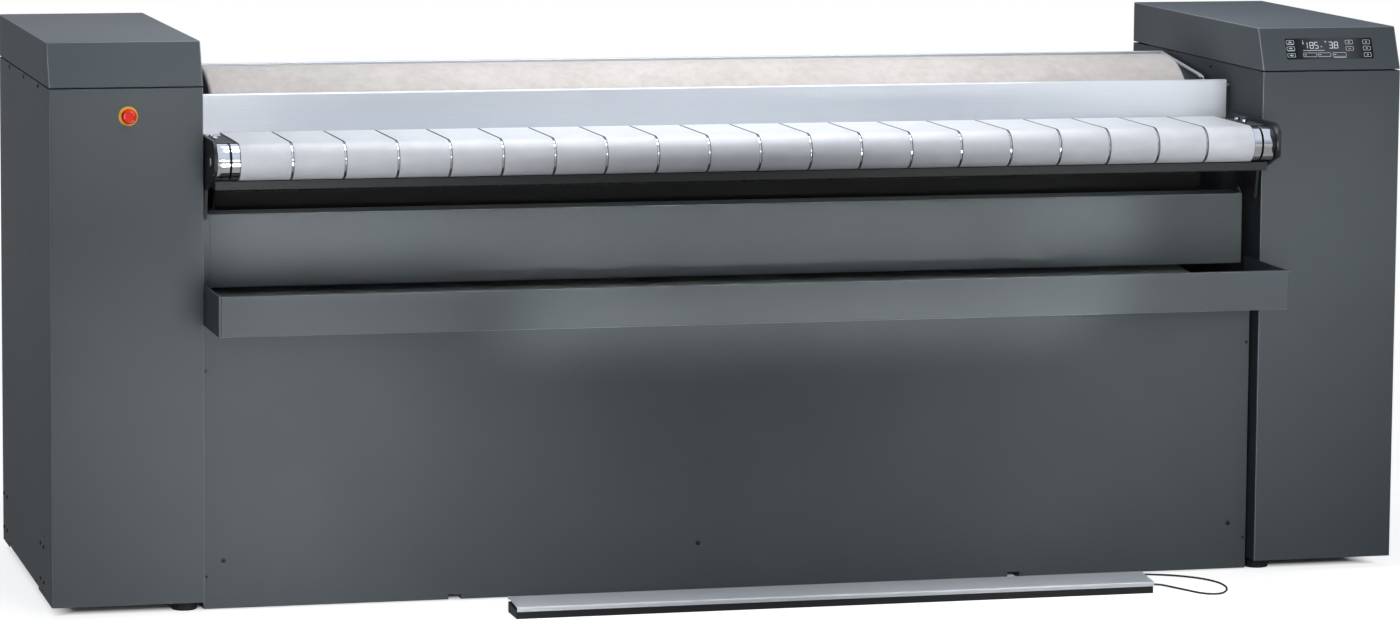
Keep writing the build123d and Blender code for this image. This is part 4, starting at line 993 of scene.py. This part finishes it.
spots = [(x, y, KNOB_TOP - KNOB_HEIGHT) for x in (-1057.0, 1040.0) for y in (-2.0, 41.0)]
knobs = [turned(KNOB, spot, (0, 0, 1), 120, knurl) for spot in spots]
knobs = join_grids("knurled_table_screws", knobs, chrome, "chassis")
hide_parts("table_screws")

# %% [markdown]
# ## Emergency stop
#
# A yellow collar and a red mushroom head, both glossy moulded plastic. The
# head has a shallow dish and three pale curved arrows that show which way to
# turn it to let it go.

# %% Turn the collar and the mushroom head
STOP_AT = (-1224.0, 0.0, 972.0)
INK_LIFT = 0.06
COLLAR = [
    (-22, 6.2), (-22, 11.2), (-6.0, 11.2), (-6.0, 16.9), (-1.8, 16.9), (-1.8, 11.2),
    (0.05, 11.2), (0.05, 17.7), (0.5, 18.3), (1.1, 18.5), (4.4, 18.5), (5.3, 18.2),
    (5.9, 17.5), (6.0, 16.6), (5.6, 15.6), (5.0, 15.2), (5.0, 6.2),
]
collar = turned(closed(COLLAR), STOP_AT, FORWARD, 72)
collar = join_grids("stop_collar_ring", [collar], yellow_abs, "chassis")
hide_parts("emergency_stop_collar")

HEAD_RADII = np.array([0, 3, 6, 8.5, 10.5, 12.2, 13.4, 14.2, 14.5])
HEAD_REACH = np.array([23.4, 23.5, 23.8, 24.0, 23.8, 23.1, 22.0, 20.6, 19.0])
UNDERSIDE = [
    (17.1, 0), (17.1, 6.2), (11.0, 6.2), (11.0, 12.6), (11.4, 13.6), (12.4, 14.3), (13.6, 14.5),
]
mushroom = UNDERSIDE + list(zip(HEAD_REACH[::-1], HEAD_RADII[::-1]))
head = turned(mushroom, STOP_AT, FORWARD, 72)
head = join_grids("stop_mushroom_head", [head], red_abs, "stop_head")
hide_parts("emergency_stop_button")

# %% Print the three turning arrows on the head
ARROW_SWEEP = 66.0
ARROW_R = 10.2
BODY_SHARE = 0.68


def curved_arrow(start):
    """A flat arrow that follows the dish over an arc of 66 degrees: two thirds of it are
    the body, and then the tip widens at once and narrows to a point."""
    share = np.linspace(0, 1, 26)
    angle = np.radians(start + ARROW_SWEEP * share)
    half = np.where(share < BODY_SHARE, 0.55, 1.7 * (1 - share) / (1 - BODY_SHARE))
    radius = ARROW_R + half[:, None] * np.array([-1.0, -0.5, 0.0, 0.5, 1.0])
    reach = np.interp(radius, HEAD_RADII, HEAD_REACH) + INK_LIFT
    x = STOP_AT[0] + radius * np.cos(angle)[:, None]
    z = STOP_AT[2] + radius * np.sin(angle)[:, None]
    return place(x, -reach, z)


def thicken(piece, thickness):
    """Gives a printed film its thickness in metres, towards the face that it lies on."""
    ink = piece.modifiers.new("ink", "SOLIDIFY")
    ink.thickness = thickness
    ink.offset = -1


arrows = [curved_arrow(start) for start in (20, 140, 260)]
# Pad-printed ink over red is a little worn, in grains half a millimetre wide.
pale_ink = mottled("off_white_pad_print", 0.5, 1.0, "#ee7a66", "#f49a86", 0.35)
arrows = join_grids("stop_turning_arrows", arrows, pale_ink, "stop_head")
thicken(arrows, 0.0001)

# %% [markdown]
# ## Display
#
# The control panel shows pale symbols, lit from behind: outlined keys down
# both sides, two read-outs in seven bars, and three keys below. The shapes
# are strokes and rounded frames laid out in millimetres on the glass. They lie
# a hair in front of its face, because the glass is drawn as an opaque sheet.

# %% Lay out strokes and frames on the glass
DISPLAY_WIDTH, DISPLAY_HEIGHT = 188.0, 45.0
DISPLAY_CENTRE = np.array([1227.0, 18.39, 1069.5])
ACROSS = np.array([1.0, 0.0, 0.0])
DISPLAY_UP = np.array([0.0, 37.0, 84.5]) / math.hypot(37.0, 84.5)
DISPLAY_OUT = np.cross(ACROSS, DISPLAY_UP)
GLASS_DEPTH = 0.3


def on_glass(flat):
    """Points (across, up) in millimetres from the display's middle, put on the sloping
    glass: middle + across * X + up * slope, a hair in front of the face."""
    flat = np.asarray(flat, float)
    points = DISPLAY_CENTRE + flat[..., :1] * ACROSS + flat[..., 1:] * DISPLAY_UP
    points = points + (INK_LIFT - GLASS_DEPTH) * DISPLAY_OUT
    return place(*np.moveaxis(points, -1, 0))


def spot_at(u, v):
    """A place given as shares of the glass, across and down from its top left corner."""
    return np.array([(u - 0.5) * DISPLAY_WIDTH, (0.5 - v) * DISPLAY_HEIGHT])


def stroke(start, end, width):
    """A line with round ends: the outline of half circles round both ends, joined to
    the middle line."""
    start, end = np.asarray(start, float), np.asarray(end, float)
    direction = (end - start) / max(np.linalg.norm(end - start), 1e-9)
    across = np.array([-direction[1], direction[0]])
    turn = np.linspace(0, 2 * np.pi, 17)
    middle = np.where((np.cos(turn) > 1e-6)[:, None], end, start)
    rim = middle + width / 2 * (np.cos(turn)[:, None] * direction + np.sin(turn)[:, None] * across)
    return on_glass(np.stack([rim, middle]))


def frame_line(centre, width, height, radius, line):
    """A rounded rectangle drawn as a line: the ring between two rounded outlines."""
    outer = rounded_box_outline(width, height, radius, 6)
    inner = rounded_box_outline(width - 2 * line, height - 2 * line, max(radius - line, 0.2), 6)
    return on_glass(np.stack([outer, inner]) + centre)


BARS = {
    "a": ((0, 1), (1, 1)), "b": ((1, 1), (1, 0.5)), "c": ((1, 0.5), (1, 0)), "d": ((0, 0), (1, 0)),
    "e": ((0, 0), (0, 0.5)), "f": ((0, 0.5), (0, 1)), "g": ((0, 0.5), (1, 0.5)),
}
DIGITS = {"1": "bc", "8": "abcdefg", "5": "acdfg", "3": "abcdg"}


def digit(figure, corner, width, height, line):
    """A figure in seven bars: each bar is a stroke, drawn a little short at its ends."""
    strokes = []
    for bar in DIGITS[figure]:
        start, end = (corner + np.array(p) * (width, height) for p in BARS[bar])
        gap = (end - start) / np.linalg.norm(end - start) * line * 0.62
        strokes.append(stroke(start + gap, end - gap, line))
    return strokes


print("glass middle at", on_glass((0, 0)))

# %% Draw the keys and the read-outs


def ring_mark(centre, radius, line):
    """A small circle drawn as a line."""
    return frame_line(np.asarray(centre), 2 * radius, 2 * radius, radius, line)


def key(middle, width, height, *marks):
    """A key: a rounded frame round its marks. A mark is a stroke, given by its two ends
    from the key's middle and its width."""
    strokes = [stroke(middle + start, middle + end, line) for start, end, line in marks]
    return [frame_line(middle, width, height, 1.6, 0.6), *strokes]


def underline(left, right, v, line):
    """A level stroke at the height v, from left to right as shares of the glass."""
    return stroke(spot_at(left, v), spot_at(right, v), line)


FIGURE_SIZE = (7.2, 13.0, 1.5)
FIGURE_V = 0.48
LEVEL, UPRIGHT = ((-2.2, 0), (2.2, 0), 0.8), ((0, -2.2), (0, 2.2), 0.8)
symbols = []
for v, lit in ((0.175, True), (0.475, True), (0.80, False)):
    middle = spot_at(0.0575, v)
    symbols += key(middle, 17.0, 8.0, ((-4, 0), (4, 0), 0.9))
    symbols.append(ring_mark(middle, 2.0, 0.5))
    if lit:
        symbols.append(stroke(middle + (-7.5, -5.2), middle + (7.5, -5.2), 0.8))
for figure, left in zip("185", (0.213, 0.281, 0.336)):
    symbols += digit(figure, spot_at(left, FIGURE_V), *FIGURE_SIZE)
symbols.append(ring_mark(spot_at(0.412, 0.40), 1.5, 0.5))
symbols.append(ring_mark(spot_at(0.205, 0.24), 1.6, 0.6))
symbols.append(stroke(spot_at(0.205, 0.20), spot_at(0.205, 0.10), 0.8))
symbols.append(underline(0.20, 0.44, 0.58, 1.0))
symbols.append(ring_mark(spot_at(0.465, 0.17), 1.8, 0.6))
for figure, left in zip("38", (0.502, 0.563)):
    symbols += digit(figure, spot_at(left, FIGURE_V), *FIGURE_SIZE)
symbols.append(underline(0.5515, 0.5525, 0.475, 1.9))
for v, marks in ((0.20, (LEVEL, UPRIGHT)), (0.505, (LEVEL,))):
    symbols += key(spot_at(0.735, v), 16.5, 8.6, *marks)
for u, width in ((0.27, 29.0), (0.435, 27.5), (0.61, 29.0)):
    lamp = ((3 - width / 2, 0), (6.5 - width / 2, 0), 1.2)
    symbols += key(spot_at(u, 0.785), width, 8.8, lamp)
symbols.append(underline(0.54, 0.68, 0.93, 0.8))
for number, v in enumerate((0.20, 0.50, 0.81)):
    rising = ((-1.8, -1.6), (1.8, 1.6 - number), 0.7)
    falling = ((-1.8, 1.6), (1.8, number - 1.6), 0.7)
    symbols += key(spot_at(0.933, v), 15.5, 9.0, rising, falling)

# Ink lit from behind glows a little, uneven from key to key because each one has its
# own small lamp.
backlight = {"Emission_Strength": 0.5, "Emission_Color": linear("#dfe6ea")}
white_ink = mottled("back_lit_white_ink", 14, 1.0, "#8f9598", "#e8ecee", 0.5, **backlight)
print_film = join_grids("display_symbols", symbols, white_ink, "chassis")
thicken(print_film, 0.00005)

# %% [markdown]
# ## Foot bar springs and cable boots
#
# Three coil springs push the foot bar's plate up again. A spring is a wire
# carried along a helix whose end turns lie flat. The cable leaves the bar
# through a small gland with a tapered rubber boot, and enters the crossbeam
# through another.

# %% Wind the springs
SPRING_Y, SPRING_LOW, SPRING_HIGH = -160.0, 2.5, 22.8
SPRING_TURNS, SPRING_R, WIRE_R = 6.0, 5.1, 0.8


def coil_spring(x):
    """A wire round a helix: the middle line is a circle whose height rises with the
    angle, flat over the first and last turn, and the wire is a small circle set
    outwards and upwards from it. The first and last rows shrink to close the ends."""
    share = np.linspace(0, 1, 193)
    rows = np.concatenate([[0], share, [1]])
    thick = np.concatenate([[0], np.full(len(share), WIRE_R), [0]])
    flat = 1 / SPRING_TURNS
    rise = np.clip((rows - flat) / (1 - 2 * flat), 0, 1)
    low, high = SPRING_LOW + WIRE_R, SPRING_HIGH - WIRE_R
    height = low + (high - low) * rise
    turn = 2 * np.pi * SPRING_TURNS * rows
    round_it = np.linspace(0, 2 * np.pi, 9)
    radius = SPRING_R + thick[:, None] * np.cos(round_it)
    z = height[:, None] + thick[:, None] * np.sin(round_it)
    return place(x + radius * np.cos(turn)[:, None], SPRING_Y + radius * np.sin(turn)[:, None], z)


coils = [coil_spring(x) for x in (-380.0, 150.0, 680.0)]
springs = join_grids("foot_bar_coil_springs", coils, drawn_steel, "chassis")
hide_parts("foot_bar_springs")
tuple(place(150, SPRING_Y, SPRING_LOW))
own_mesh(springs)

# %% Mould the cable boots
BOOT_BORE = 2.15


def boot(centre, axis, nut, length):
    """A gland and its boot in one profile: a nut, a collar, and a cone with three
    grooves that narrows to the cable, with a bore that the cable runs through."""
    profile = [(-6, BOOT_BORE), (-6, 3.4), (-nut, 3.4), (-nut, 4.5), (0, 4.5), (0.6, 4.3)]
    share = np.linspace(0, 1, 22)
    cone = 3.7 - 1.1 * share - 0.25 * (np.sin(3 * 2 * np.pi * share) > 0.3)
    profile += [(0.8 + length * s, r) for s, r in zip(share, cone)]
    profile.append((0.8 + length, BOOT_BORE))
    return turned(closed(profile), centre, axis, 24)


boots = [boot((800, -112, 6), (1, 0, 0), 4, 20), boot((577, 117, 69.9), (0, 0, -1), 4, 14)]
boots = join_grids("cable_boots", boots, rubber, "chassis")
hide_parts("foot_cable_glands")

# %% [markdown]
# ## The colour view
#
# Standard colours, no grading: what the camera sees is what the finishes
# give.

# %% Finish
bpy.context.scene.view_settings.view_transform = "Standard"
